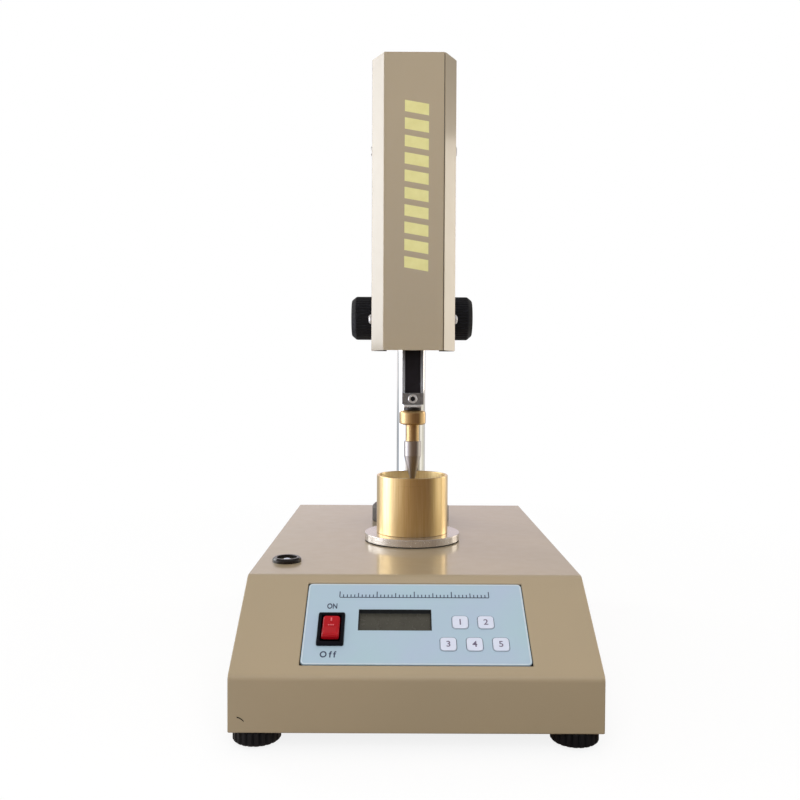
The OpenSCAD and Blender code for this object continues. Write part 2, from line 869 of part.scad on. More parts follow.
module foot_pad(i) color("dimgray") {
    at_foot(feet[i][1], feet[i][2]) {
        cylinder(h = pad_h, d = pad_d);
        cylinder(h = pad_h + pivot_h, d = pivot_d);
    }
}

module head_cover() color("tan") {
    difference() {
        translate([0, 0, z_head]) linear_extrude(head_h) polygon(head_outline(0, head_back));
        translate([0, 0, z_head - 1])
            linear_extrude(head_h - head_t + 1) polygon(head_outline(head_t, head_back + 1));
        at_side_screws() cylinder(h = 4 * head_t, d = screw_d + 2 * screw_play, center = true);
    }
}

module at_side_screws() {
    for (side = [-1, 1], up = side_screw_up)
        translate([side * head_w / 2, side_screw_y, z_head + up])
            rotate([0, -side * 90, 0]) children();
}

// Channel behind the cover, notched for the beam, with a shelf for the magnet
module head_frame() color("dimgray") {
    frame_h = head_h - head_t - gap;
    flange_y = head_side(head_t)[1][1] + 1;
    translate([0, 0, z_head])
        difference() {
            union() {
                translate([-frame_w / 2, web_y, 0]) cube([frame_w, frame_t, frame_h]);
                for (side = [-1, 1])
                    translate([side * (frame_w - frame_t) / 2 - frame_t / 2, flange_y, 0])
                        cube([frame_t, web_y - flange_y + eps, frame_h]);
                translate([-shelf_w / 2, magnet_y - magnet_d / 2, z_magnet + magnet_h - z_head])
                    cube([shelf_w, web_y + eps - magnet_y + magnet_d / 2, frame_t]);
            }
            translate([-notch_w / 2, web_y - 1, -1]) cube([notch_w, frame_t + 2, notch_h + 1]);
            translate([0, 0, -z_head]) {
                at_side_screws()
                    cylinder(h = 4 * frame_t, d = screw_d + 2 * seat_fit, center = true);
                at_arm_screws() cylinder(h = 4 * frame_t, d = screw_d + 2 * screw_play,
                    center = true);
            }
        }
}

module cover_screws() color("silver") {
    at_side_screws()
        pan_screw(screw_d, screw_head_d, screw_head_h, head_t + gap + frame_t);
}

// Screws from the frame's web back into the carriage's arm
module at_arm_screws() {
    for (side = [-1, 1], up = arm_screw_up)
        translate([side * arm_screw_x, web_y, z_carriage + up])
            rotate([-90, 0, 0]) children();
}

module head_carriage() color("gray") {
    arm_l = column_y - head_back;
    difference() {
        union() {
            at_column(z_carriage) cylinder(h = carriage_h, d = boss_d);
            translate([-arm_w / 2, head_back, z_carriage]) cube([arm_w, arm_l, carriage_h]);
        }
        at_column(z_carriage - 1) cylinder(h = carriage_h + 2, d = column_d + 4 * gap);
        for (z = [-1, carriage_h - bush_l])
            at_column(z_carriage + z) cylinder(h = bush_l + 1, d = column_d + 2 * bush_wall);
        translate([0, knob_y, z_knob]) rotate([0, 90, 0]) {
            cylinder(h = pocket_w, r = pocket_r, center = true);
            cylinder(h = arm_w + 2, d = shaft_d + 4 * gap, center = true);
            for (side = [-1, 1])
                translate([0, 0, side * (arm_w - shaft_bush_l) / 2])
                    cylinder(h = shaft_bush_l + eps, d = shaft_d + 2 * shaft_bush_wall,
                        center = true);
        }
        translate([-pocket_w / 2, knob_y, z_knob - pocket_r])
            cube([pocket_w, column_y - knob_y, 2 * pocket_r]);
        at_arm_screws() cylinder(h = 6 * frame_t, d = screw_d + 2 * seat_fit);
    }
}

module carriage_screws() color("silver") {
    at_arm_screws() pan_screw(screw_d, screw_head_d, screw_head_h, 5 * frame_t);
}

module guide_bushes() color("goldenrod") {
    for (z = [0, carriage_h - bush_l])
        at_column(z_carriage + z)
            ring(column_d + 2 * bush_wall - 2 * seat_fit, column_d + 2 * run_fit, bush_l);
}

module shaft_bushes() color("goldenrod") {
    for (side = [-1, 1])
        translate([side * (arm_w - shaft_bush_l) / 2, knob_y, z_knob])
            rotate([0, 90, 0])
                translate([0, 0, -shaft_bush_l / 2])
                    ring(shaft_d + 2 * shaft_bush_wall - 2 * seat_fit, shaft_d + 2 * run_fit,
                        shaft_bush_l);
}

module pinion_shaft() color("silver") {
    l = 2 * (knob_reach - knob_dome);
    translate([0, knob_y, z_knob]) rotate([0, 90, 0]) cylinder(h = l, d = shaft_d, center = true);
}

module pinion() color("silver") {
    translate([0, knob_y, z_knob])
        difference() {
            along_x(gear_w) polygon(gear_points());
            rotate([0, 90, 0])
                cylinder(h = 2 * gear_w, d = shaft_d + 2 * seat_fit, center = true);
        }
}

// Ribbed knob with a domed end and a hub towards the carriage
module knob(side) color("black") {
    inner = knob_reach - knob_l;
    rib_r = knob_d / 2;
    core_r = rib_r - knob_rib - rib_step;
    translate([0, knob_y, z_knob]) rotate([0, side * 90, 0])
        difference() {
            union() {
                translate([0, 0, inner]) linear_extrude(knob_l - knob_dome)
                    polygon(ribbed(rib_r, knob_ribs, knob_rib));
                translate([0, 0, knob_reach - knob_dome - eps])
                    rotate_extrude()
                        polygon([[0, 0], [core_r, 0], [core_r - knob_dome * 0.1, knob_dome * 0.5],
                            [core_r - knob_dome * 0.4, knob_dome * 0.85],
                            [core_r - knob_dome * 0.9, knob_dome], [0, knob_dome]]);
                translate([0, 0, arm_w / 2 + gap])
                    cylinder(h = inner - arm_w / 2 - gap + eps, d = knob_hub_d);
            }
            cylinder(h = knob_reach - knob_dome, d = shaft_d + 2 * seat_fit);
        }
}

// Slide for the beam, open to the front, which the reader closes
module beam_guide() color("black") {
    front = beam_front - strip_t - gap;
    translate([0, 0, z_head + guide_up])
        difference() {
            translate([-guide_w / 2, front, 0]) cube([guide_w, web_y - front, guide_h]);
            translate([-beam_w / 2 - gap, front - 1, -1])
                cube([beam_w + 2 * gap, beam_back + gap - front + 1, guide_h + 2]);
        }
}

module scale_reader() color("darkgreen") {
    translate([-reader_w / 2, beam_front - strip_t - gap - reader_t, z_head + guide_up])
        cube([reader_w, reader_t, reader_h]);
}

module magnet() color("silver") {
    translate([0, magnet_y, z_magnet]) cylinder(h = magnet_h, d = magnet_d);
}

module armature() color("gray") {
    translate([-beam_w / 2, beam_back - armature_d, beam_top])
        cube([beam_w, armature_d, armature_t]);
}

module scale_beam() color("lightgray") {
    translate([-beam_w / 2, beam_front, z_beam]) cube([beam_w, beam_t, beam_top - z_beam]);
}

module scale_strip() color("black") {
    translate([-strip_w / 2, beam_front - strip_t, z_beam + clamp_h])
        cube([strip_w, strip_t, beam_top - z_beam - clamp_h]);
}

// Clamp plate in front of the beam's end, on a round neck that the collar screws on
module beam_clamp() color("gray") {
    difference() {
        union() {
            translate([-beam_w / 2, beam_front - clamp_t, z_beam])
                cube([beam_w, clamp_t, clamp_h]);
            translate([-lip_w / 2, beam_front - clamp_t - lip_t, z_beam - lip_h])
                cube([lip_w, clamp_t + lip_t, lip_h]);
            at_cup(z_beam - neck_h)
                rotate_extrude()
                    polygon([[0, 0], [neck_d / 2, 0], [neck_d / 2, neck_h * 0.3],
                        [neck_d / 2 - neck_h * 0.45, neck_h], [0, neck_h]]);
            at_cup(z_beam - neck_h - spike_l) cylinder(h = spike_l + 1, d = spike_d);
        }
        at_clamp_screw() translate([0, 0, -1])
            cylinder(h = clamp_t + 2, d = screw_d + 2 * screw_play);
    }
}

module at_clamp_screw() {
    translate([0, beam_front - clamp_t, z_beam + clamp_h / 2])
        rotate([-90, 0, 0]) children();
}

module clamp_screw() color("silver") {
    at_clamp_screw() {
        difference() {
            translate([0, 0, -screw_head_h]) cylinder(h = screw_head_h, d = screw_head_d);
            translate([0, 0, -screw_head_h - 1])
                cylinder(h = screw_head_h, d = screw_d * 0.9, $fn = 6);
        }
        cylinder(h = clamp_t, d = screw_d);
    }
}

module cone_collar() color("goldenrod") {
    r = collar_d / 2;
    difference() {
        at_cup(z_shank)
            rotate_extrude()
                polygon([[0, 0], [shank_d / 2, 0], [shank_d / 2, shank_h], [r - collar_round, shank_h],
                    [r, shank_h + collar_round], [r, shank_h + collar_h - collar_round],
                    [r - collar_round, shank_h + collar_h], [0, shank_h + collar_h]]);
        at_cup(z_collar + collar_h - spike_l)
            cylinder(h = spike_l + 1, d = spike_d + 2 * seat_fit);
        at_cup(z_shank - 1) cylinder(h = spike_l + 1, d = spike_d + 2 * seat_fit);
    }
}

module cone_tip() color("lightgray") {
    at_cup(z_land - cone_l)
        rotate_extrude()
            polygon([[0, 0], [cone_d / 2, cone_l], [cone_d / 2, cone_l + cone_land],
                [spike_d / 2, cone_l + cone_land], [spike_d / 2, cone_l + cone_land + spike_l],
                [0, cone_l + cone_land + spike_l]]);
}

module sample_cup() color("goldenrod") {
    difference() {
        at_cup(z_platform) cylinder(h = cup_h, d = cup_d);
        at_cup(z_platform + cup_floor) cylinder(h = cup_h, d = cup_d - 2 * cup_wall);
        at_cup(z_platform - 1)
            cylinder(h = 1 + register_h + gap, d = register_d + 2 * run_fit);
    }
}

base_cover();
base_pan();
pan_screws();
panel_plate();
panel_overlay();
switch_housing();
lcd_module();
lcd_glass();
key_board();
stiffener();
column_flange();
flange_screws();
column();
column_nut();
column_rack();
platform();
platform_screw();
level_bezel();
level_vial();
main_board();
transformer();
power_inlet();
foot_nuts();
foot(0);  // foot_front_left
foot(1);  // foot_front_right
foot(2);  // foot_back_left
foot(3);  // foot_back_right
foot_pad(0);  // pad_front_left
foot_pad(1);  // pad_front_right
foot_pad(2);  // pad_back_left
foot_pad(3);  // pad_back_right
switch_rocker();
key_cap(0);  // key_1
key_cap(1);  // key_2
key_cap(2);  // key_3
key_cap(3);  // key_4
key_cap(4);  // key_5
head_cover();
head_frame();
cover_screws();
head_carriage();
carriage_screws();
guide_bushes();
shaft_bushes();
beam_guide();
scale_reader();
magnet();
knob(-1);  // knob_left
knob(1);  // knob_right
pinion_shaft();
pinion();
scale_beam();
scale_strip();
beam_clamp();
clamp_screw();
cone_collar();
cone_tip();
armature();
sample_cup();
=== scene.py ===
"""Soil cone penetrometer: detailed pieces, finishes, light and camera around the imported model."""
import json
import math

import bmesh
import bpy
from mathutils import Matrix, Vector


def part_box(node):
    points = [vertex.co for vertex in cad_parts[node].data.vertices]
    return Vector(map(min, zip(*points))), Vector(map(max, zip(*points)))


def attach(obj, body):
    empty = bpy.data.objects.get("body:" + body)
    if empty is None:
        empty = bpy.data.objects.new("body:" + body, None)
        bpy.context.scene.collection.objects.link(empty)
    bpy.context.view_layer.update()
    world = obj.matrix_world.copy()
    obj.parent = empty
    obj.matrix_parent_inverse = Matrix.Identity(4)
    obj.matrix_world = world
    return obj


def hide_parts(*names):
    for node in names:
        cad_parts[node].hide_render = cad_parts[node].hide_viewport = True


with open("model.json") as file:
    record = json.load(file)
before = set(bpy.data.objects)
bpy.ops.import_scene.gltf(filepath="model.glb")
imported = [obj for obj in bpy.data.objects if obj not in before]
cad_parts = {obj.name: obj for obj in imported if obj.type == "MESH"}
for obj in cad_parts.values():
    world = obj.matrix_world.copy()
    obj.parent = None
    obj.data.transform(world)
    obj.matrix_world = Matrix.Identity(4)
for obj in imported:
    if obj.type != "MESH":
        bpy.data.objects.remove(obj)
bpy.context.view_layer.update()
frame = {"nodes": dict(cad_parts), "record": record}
scene = bpy.context.scene

# Every size and place is in millimetres; meshes are written in metres.
MM = 0.001
TINY = 1e-6


def span(node):
    """Lowest and highest corner of a CAD node, in millimetres."""
    low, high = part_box(node)
    return low / MM, high / MM


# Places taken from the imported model
base_low, base_high = span("base_cover")
Y_FRONT, Y_BACK = base_low.y, base_high.y
Z_BASE, Z_TOP = base_low.z, base_high.z
BASE_W = 2 * base_high.x
SLOPE_RUN, SLOPE_RISE = 64.3, 41.7
SLOPE = math.atan2(SLOPE_RISE, SLOPE_RUN)
Y_BEND = Y_FRONT + SLOPE_RUN
Z_FASCIA = Z_TOP - SLOPE_RISE
SHEET = 1.5

cup_low, cup_high = span("sample_cup")
CUP_Y = (cup_low.y + cup_high.y) / 2
head_low, head_high = span("head_cover")
beam_low, beam_high = span("scale_beam")


def panel(x, down, out=0.0):
    """Local frame on the sloped panel: X across, Y up the slope, Z out of it."""
    turn = Matrix.Rotation(SLOPE, 4, "X")
    return Matrix.Translation((0, Y_BEND, Z_TOP)) @ turn @ Matrix.Translation((x, -down, out))


def upright(x, y, z):
    """Local frame with the axes of the whole object."""
    return Matrix.Translation((x, y, z))


def along_x(x, y, z, side):
    """Local frame whose Z axis points to +X or, where side is -1, to -X."""
    return Matrix.Translation((x, y, z)) @ Matrix.Rotation(side * math.pi / 2, 4, "Y")


def facing_front(x, y, z):
    """Local frame on an upright face: X across, Y up, Z towards the viewer."""
    return Matrix.Translation((x, y, z)) @ Matrix.Rotation(math.pi / 2, 4, "X")


def tone(red, green, blue):
    """Linear colour of an 8-bit screen colour."""
    def linear(value):
        value /= 255
        return value / 12.92 if value <= 0.04045 else ((value + 0.055) / 1.055) ** 2.4
    return linear(red), linear(green), linear(blue), 1.0


def add_node(tree, kind, inputs=None, **settings):
    """New shader node; each input is a socket to link or a value to set."""
    made = tree.nodes.new("ShaderNode" + kind)
    for key, value in settings.items():
        setattr(made, key, value)
    for key, value in (inputs or {}).items():
        if isinstance(value, bpy.types.NodeSocket):
            tree.links.new(value, made.inputs[key])
        else:
            made.inputs[key].default_value = value
    return made


FINISH = {}
# Dust starts on faces whose normal rises by the first share, and is full at the second
DUST_FROM, DUST_FULL, DUST_ROUGH = 0.6, 0.95, 0.35


class Finish:
    """A Principled material, with short ways to add nodes that vary it over the surface."""

    def __init__(self, name, colour, rough, **settings):
        FINISH[name] = self
        self.material = bpy.data.materials.new(name)
        self.material.use_nodes = True
        self.tree = self.material.node_tree
        self.shader = self.tree.nodes["Principled BSDF"]
        self.shader.inputs["Base Color"].default_value = tone(*colour)
        self.shader.inputs["Roughness"].default_value = rough
        for socket, value in settings.items():
            self.shader.inputs[socket.replace("_", " ")].default_value = value
        self.place = self.node("TexCoord").outputs["Object"]

    def node(self, kind, inputs=None, **settings):
        return add_node(self.tree, kind, inputs, **settings)

    def link(self, socket, name):
        self.tree.links.new(socket, self.shader.inputs[name])
        return self

    def noise(self, size, detail=2.0, stretch=None):
        """Noise whose features are about size millimetres, longer where stretch is over 1."""
        vector = self.place
        if stretch:
            scale = [1 / s for s in stretch]
            vector = self.node("Mapping", {"Vector": vector, "Scale": scale}).outputs["Vector"]
        return self.node(
            "TexNoise", {"Vector": vector, "Scale": 1 / (size * MM), "Detail": detail}
        ).outputs["Fac"]

    def spread(self, value, low, high, start=0.3, end=0.7):
        """Carries a value that goes from start to end over to low and high."""
        return self.node(
            "MapRange",
            {"Value": value, "From Min": start, "From Max": end, "To Min": low, "To Max": high},
        ).outputs["Result"]

    def drift(self, noise, colour, shade):
        """Lets the colour drift between two screen colours."""
        mixed = self.node(
            "Mix", {0: self.spread(noise, 0, 1), 6: tone(*colour), 7: tone(*shade)},
            data_type="RGBA",
        )
        return self.link(mixed.outputs[2], "Base Color")

    def rub(self, noise, rough, least, most):
        """Lets the roughness go from least to most times rough."""
        return self.link(self.spread(noise, rough * least, rough * most), "Roughness")

    def bump(self, height, depth):
        """Gives the surface a relief of depth millimetres."""
        relief = self.node("Bump", {"Height": height, "Distance": depth * MM})
        return self.link(relief.outputs["Normal"], "Normal")

    def dusty(self):
        """Takes the gloss off the faces that look up."""
        normal = self.node("NewGeometry").outputs["Normal"]
        up = self.node("SeparateXYZ", {0: normal}).outputs["Z"]
        coat = self.shader.inputs["Coat Weight"].default_value
        rough = self.shader.inputs["Roughness"].links[0].from_socket
        dull = self.spread(up, 0, DUST_ROUGH, DUST_FROM, DUST_FULL)
        total = self.node("Math", {0: rough, 1: dull}, operation="ADD")
        self.link(self.spread(up, coat, 0, DUST_FROM, DUST_FULL), "Coat Weight")
        return self.link(total.outputs[0], "Roughness")


def painted(name, colour, shade, rough, peel, **settings):
    """Sprayed paint: slow drift of tone, orange peel, and fine dust in the gloss."""
    f = Finish(name, colour, rough, **settings)
    f.drift(f.noise(55, detail=3), colour, shade)
    f.rub(f.noise(9, detail=4), rough, 0.95, 1.06)
    return f.bump(f.noise(2.2), peel)


def moulded(name, colour, shade, rough, grain, drift=6, **settings):
    """Moulded plastic, rubber or print: fine grain, rubbed patches, tone drifting over drift mm."""
    f = Finish(name, colour, rough, **settings)
    f.drift(f.noise(drift, detail=4), colour, shade)
    f.rub(f.noise(3, detail=3), rough, 0.8, 1.2)
    return f.bump(f.noise(0.35), grain)


def turned(name, colour, shade, rough, groove, grain=0.95, metal=1.0):
    """Machined metal: fine lines round the vertical axis spread its reflections up and down."""
    f = Finish(
        name, colour, rough, Metallic=metal, Anisotropic=grain, Anisotropic_Rotation=0.25
    )
    f.link(f.node("Tangent", direction_type="RADIAL", axis="Z").outputs["Tangent"], "Tangent")
    f.drift(f.noise(1.1, detail=3, stretch=(1, 1, 30)), colour, shade)
    lines = f.noise(0.45, detail=3, stretch=(400, 400, 1))
    f.rub(lines, rough, 0.9, 1.1)
    return f.bump(lines, groove)


def drawn(name, colour, shade, rough, scratch, axis, metal=1.0):
    """Rolled or plated metal with a grain along one axis."""
    f = Finish(name, colour, rough, Metallic=metal)
    f.drift(f.noise(8, detail=3), colour, shade)
    stretch = [1, 1, 1]
    stretch[axis] = 60
    grain = f.noise(0.5, detail=3, stretch=stretch)
    f.rub(grain, rough, 0.75, 1.3)
    return f.bump(grain, scratch)


def beige(name):
    return painted(name, (165, 147, 118), (162, 145, 117), 0.4, 0.02,
                   Coat_Weight=0.66, Coat_Roughness=0.11)


# Each finish has two 8-bit screen colours to drift between, a roughness and a relief
beige("beige_paint")
beige("head_paint").dusty()
painted("dark_paint", (30, 28, 28), (24, 23, 23), 0.42, 0.02, Specular_IOR_Level=0.1)
drawn("zinc_sheet", (190, 192, 194), (164, 168, 172), 0.38, 0.004, axis=1)
moulded("overlay_print", (168, 184, 202), (165, 189, 198), 0.45, 0.004, drift=38,
        Specular_IOR_Level=0.3)
moulded("switch_black", (11, 11, 16), (15, 15, 21), 0.45, 0.006, Specular_IOR_Level=0.08)
moulded("mask_black", (42, 44, 46), (48, 50, 51), 0.5, 0.004, Specular_IOR_Level=0.2)
moulded("switch_red", (172, 15, 27), (162, 10, 22), 0.2, 0.002, Specular_IOR_Level=0.22)
moulded("key_white", (210, 214, 228), (205, 210, 225), 0.45, 0.004, Specular_IOR_Level=0.3)
moulded("display", (73, 71, 63), (66, 64, 57), 0.25, 0.001, Specular_IOR_Level=0.3)
moulded("circuit_board", (24, 72, 44), (18, 58, 36), 0.4, 0.01)
drawn("chrome", (226, 226, 224), (216, 216, 216), 0.07, 0.001, axis=2)
turned("steel", (198, 192, 186), (180, 175, 170), 0.3, 0.001)
turned("disc_steel", (216, 210, 204), (202, 196, 190), 0.22, 0.0004, grain=0.6, metal=0.85)
turned("polished", (176, 170, 167), (168, 163, 160), 0.3, 0.0001)
turned("black_steel", (46, 42, 40), (36, 33, 32), 0.3, 0.001, grain=0.5, metal=0.6)
moulded("clamp_plate", (124, 120, 118), (92, 90, 88), 0.4, 0.01, drift=1.5, Metallic=0.4)
drawn("satin", (164, 164, 166), (140, 140, 142), 0.45, 0.004, axis=2, metal=0.3)
turned("brass", (233, 206, 156), (219, 189, 133), 0.3, 0.001)
turned("dull_brass", (204, 175, 130), (190, 158, 110), 0.3, 0.001)
turned("brass_bore", (240, 220, 170), (224, 198, 142), 0.34, 0.001, metal=0.6)
moulded("rubber", (32, 32, 33), (41, 41, 41), 0.75, 0.03)
moulded("black_plastic", (18, 18, 21), (24, 24, 27), 0.55, 0.02, Specular_IOR_Level=0.18)
moulded("level_ring", (14, 9, 8), (19, 14, 12), 0.16, 0.001, Specular_IOR_Level=0.45)
moulded("level_fluid", (92, 88, 70), (80, 78, 62), 0.08, 0.0005)
moulded("fastener", (214, 212, 210), (198, 196, 195), 0.3, 0.004, Metallic=0.55)
painted("iron", (96, 92, 88), (84, 80, 78), 0.5, 0.03, Metallic=0.7)
drawn("aluminium", (168, 169, 171), (161, 162, 165), 0.45, 0.004, axis=2, metal=0.25)
moulded("scale_black", (20, 17, 21), (26, 23, 27), 0.5, 0.003, Specular_IOR_Level=0.2)
moulded("yellow_ink", (219, 210, 140), (213, 203, 133), 0.5, 0.003)
moulded("blue_ink", (40, 46, 70), (52, 60, 86), 0.5, 0.002)
# Pink for the rocker's on mark and for its painted glints
moulded("pink_ink_and_glints", (214, 104, 108), (206, 92, 98), 0.4, 0.002)
moulded("pale_ink", (112, 126, 142), (124, 138, 154), 0.5, 0.002)
moulded("border_ink", (196, 204, 210), (188, 200, 206), 0.5, 0.002)
moulded("plum_ink", (98, 88, 112), (116, 104, 128), 0.5, 0.002)

SLOT_OF = {part["node"]: part["material_slot"] for part in frame["record"]["subparts"]}
OTHER_FINISH = {"scale_beam": "satin", "column_flange": "iron"}
for name, thing in frame["nodes"].items():
    thing.data.materials.clear()
    thing.data.materials.append(FINISH[OTHER_FINISH.get(name, SLOT_OF[name])].material)


# The functions from here to moved() make shapes: (corners, faces), in millimetres
def rounded(corners, steps=5, closed=False):
    """Line through corners (x, y) or (x, y, radius), with an arc where there is a radius."""
    line = []
    count = len(corners)
    for i, corner in enumerate(corners):
        point = Vector(corner[:2])
        radius = corner[2] if len(corner) > 2 else 0
        if not radius or (not closed and i in (0, count - 1)):
            line.append(tuple(point))
            continue
        before = (Vector(corners[i - 1][:2]) - point).normalized()
        after = (Vector(corners[(i + 1) % count][:2]) - point).normalized()
        half = before.angle(after) / 2
        middle = point + (before + after).normalized() * radius / math.sin(half)
        start = point + before * radius / math.tan(half) - middle
        sweep = start.angle_signed(point + after * radius / math.tan(half) - middle)
        for k in range(steps + 1):
            arm = start.copy()
            arm.rotate(Matrix.Rotation(-sweep * k / steps, 2))
            line.append(tuple(middle + arm))
    return line


def rounded_rectangle(width, length, radius):
    w, h = width / 2, length / 2
    corners = [(w, -h, radius), (w, h, radius), (-w, h, radius), (-w, -h, radius)]
    return rounded(corners, closed=True)


def lofted(rings, caps=True):
    """Skin over rings of (x, y, z) that have the same number of corners."""
    size = len(rings[0])
    corners = [corner for ring in rings for corner in ring]
    faces = []
    for k in range(len(rings) - 1):
        for i in range(size):
            j = (i + 1) % size
            faces.append((k * size + i, k * size + j, (k + 1) * size + j, (k + 1) * size + i))
    if caps:
        faces.append(tuple(range(size))[::-1])
        faces.append(tuple(range(len(corners) - size, len(corners))))
    return corners, faces


def level(outline, z):
    return [(x, y, z) for x, y in outline]


def prism(outline, low, high):
    return lofted([level(outline, low), level(outline, high)])


def block(low, high):
    """Box between two corners."""
    outline = [(low[0], low[1]), (high[0], low[1]), (high[0], high[1]), (low[0], high[1])]
    return prism(outline, low[2], high[2])


def revolved(profile, steps=96, flute=None):
    """Profile of (radius, height) turned about Z; flute(angle, height) is taken off the radius."""
    corners, rings, faces = [], [], []
    for radius, z in profile:
        first = len(corners)
        turns = steps if radius > TINY else 1
        for i in range(turns):
            angle = 2 * math.pi * i / steps
            r = radius - (flute(angle, z) if flute and turns > 1 else 0)
            corners.append((r * math.cos(angle), r * math.sin(angle), z))
        rings.append(range(first, first + turns))
    for low, high in zip(rings, rings[1:]):
        for i in range(steps):
            j = (i + 1) % steps
            around = (low[i % len(low)], low[j % len(low)],
                      high[j % len(high)], high[i % len(high)])
            face = tuple(dict.fromkeys(around))
            if len(face) > 2:
                faces.append(face)
    return corners, faces


OUTLINE_STEPS = 48


def polar(reach):
    """Closed outline from reach(angle)."""
    angles = [2 * math.pi * i / OUTLINE_STEPS for i in range(OUTLINE_STEPS)]
    return [(reach(a) * math.cos(a), reach(a) * math.sin(a)) for a in angles]


def stacked(rows):
    """Skin over rows of (reach, height)."""
    return lofted([level(polar(reach), z) for reach, z in rows])


def circle(radius):
    return lambda angle: radius


def hexagon(inner):
    return lambda angle: inner / math.cos((angle + math.pi / 6) % (math.pi / 3) - math.pi / 6)


def cross(arm, width):
    def reach(angle):
        off = (angle + math.pi / 4) % (math.pi / 2) - math.pi / 4
        return min(arm / math.cos(off), width / 2 / max(abs(math.sin(off)), TINY))
    return reach


INK = 0.06
FONT_SIZE = 1.4


def lettering(words, height, width=None, weight=0.0, gap=1.0):
    """Flat, thin letters about the origin, fitted to a height and width, made bolder by weight."""
    curve = bpy.data.curves.new("letters", "FONT")
    curve.body = words
    curve.size = height * FONT_SIZE
    curve.space_character = gap
    curve.align_x = "CENTER"
    curve.align_y = "CENTER"
    curve.extrude = INK / 2
    curve.offset = weight
    made = bpy.data.objects.new("letters", curve)
    scene.collection.objects.link(made)
    view = bpy.context.evaluated_depsgraph_get()
    mesh = bpy.data.meshes.new_from_object(made.evaluated_get(view))
    bpy.data.objects.remove(made)
    spots = [v.co for v in mesh.vertices]
    low = Vector(min(p[i] for p in spots) for i in range(3))
    high = Vector(max(p[i] for p in spots) for i in range(3))
    tall = height / (high.y - low.y)
    wide = width / (high.x - low.x) if width else tall
    fit = Matrix.Diagonal((wide, tall, 1)).to_4x4() @ Matrix.Translation(-(low + high) / 2)
    return [tuple(fit @ p) for p in spots], [tuple(p.vertices) for p in mesh.polygons]


def ring_print(outer, inner):
    """Printed line between two outlines that have the same number of corners."""
    rings = [level(outer, 0), level(outer, INK), level(inner, INK), level(inner, 0)]
    return lofted(rings + [rings[0]], caps=False)


def moved(shape, place):
    corners, faces = shape
    return [tuple(place @ Vector(c)) for c in corners], faces


def piece(name, shapes, finish, body, nodes=(), edge=0.0, limit=40, sheet=0.0,
          crease=35):
    """Mesh object of one or more shapes that rides on a body and stands for nodes."""
    corners, faces = [], []
    for shape in shapes:
        first = len(corners)
        corners += [Vector(c) * MM for c in shape[0]]
        faces += [tuple(first + i for i in face) for face in shape[1]]
    mesh = bpy.data.meshes.new(name)
    mesh.from_pydata(corners, [], faces)
    work = bmesh.new()
    work.from_mesh(mesh)
    bmesh.ops.recalc_face_normals(work, faces=work.faces)
    work.to_mesh(mesh)
    work.free()
    made = bpy.data.objects.new(name, mesh)
    scene.collection.objects.link(made)
    mesh.materials.append(FINISH[finish].material)
    mesh.shade_smooth()
    mesh.set_sharp_from_angle(angle=math.radians(crease))
    if sheet:
        wall = made.modifiers.new("wall", "SOLIDIFY")
        wall.thickness = sheet * MM
        wall.offset = -1
        wall.use_even_offset = True
    if edge:
        soften(made, edge, limit)
    even = made.modifiers.new("even_normals", "WEIGHTED_NORMAL")
    even.keep_sharp = True
    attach(made, body)
    if nodes:
        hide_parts(*nodes)


def soften(made, edge, limit=40):
    """Rounds the edges that turn by more than limit degrees."""
    bevel = made.modifiers.new("edges", "BEVEL")
    bevel.width = edge * MM
    bevel.segments = 3
    bevel.limit_method = "ANGLE"
    bevel.angle_limit = math.radians(limit)
    bevel.harden_normals = True


FLAT_ANGLE = 0.5


def soften_node(node, edge):
    """Rounds the edges of a CAD node that stays."""
    made = frame["nodes"][node]
    weld = made.modifiers.new("weld", "WELD")
    weld.merge_threshold = TINY
    flat = made.modifiers.new("flat", "DECIMATE")
    flat.decimate_type = "DISSOLVE"
    flat.angle_limit = math.radians(FLAT_ANGLE)
    soften(made, edge)


# Folded base: one skin over its side outline, with the panel's and the inlet's openings left out
panel_low, panel_high = span("panel_overlay")
PANEL_W, PANEL_L, PANEL_TOP = panel_high.x - panel_low.x, 60.6, 7.4
PANEL_PLAY = 0.5
TOP_BEND_R, FASCIA_BEND_R, BACK_BEND_R = 10, 5, 2.4
inlet_low, inlet_high = span("power_inlet")
INLET_LIP = 1.85


def base_skin():
    window = PANEL_W / 2 + PANEL_PLAY
    downs = (PANEL_TOP - PANEL_PLAY, PANEL_TOP + PANEL_L + PANEL_PLAY)
    rises = (inlet_low.z + INLET_LIP, inlet_high.z - INLET_LIP)
    inlet_x = (inlet_low.x + INLET_LIP, inlet_high.x - INLET_LIP)
    line = rounded([
        (Y_FRONT, Z_BASE), (Y_FRONT, Z_FASCIA, FASCIA_BEND_R), (Y_BEND, Z_TOP, TOP_BEND_R),
        (Y_BACK, Z_TOP, BACK_BEND_R), (Y_BACK, Z_BASE),
    ])
    front = [p for p in line if p[0] < Y_BEND - SLOPE_RUN / 2]
    top = line[len(front):-1]
    slope = [(Y_BEND - d * math.cos(SLOPE), Z_TOP - d * math.sin(SLOPE)) for d in reversed(downs)]
    line = front + slope + top + [(Y_BACK, z) for z in reversed(rises)] + [line[-1]]
    columns = sorted([-BASE_W / 2, -window, window, BASE_W / 2, *inlet_x])
    corners = [(x, y, z) for y, z in line for x in columns]
    width = len(columns)
    panel_row, inlet_row = len(front), len(line) - 3
    faces = []
    for row in range(len(line) - 1):
        for k in range(width - 1):
            x = (columns[k] + columns[k + 1]) / 2
            in_panel = row == panel_row and abs(x) < window
            in_inlet = row == inlet_row and inlet_x[0] < x < inlet_x[1]
            if not (in_panel or in_inlet):
                at = row * width + k
                faces.append((at, at + 1, at + width + 1, at + width))
    for k in (0, width - 1):
        faces.append(tuple(row * width + k for row in range(len(line))))
    return corners, faces


piece("base_shell", [base_skin()], "beige_paint", "base", ["base_cover"], edge=2.0, limit=60,
      sheet=SHEET)

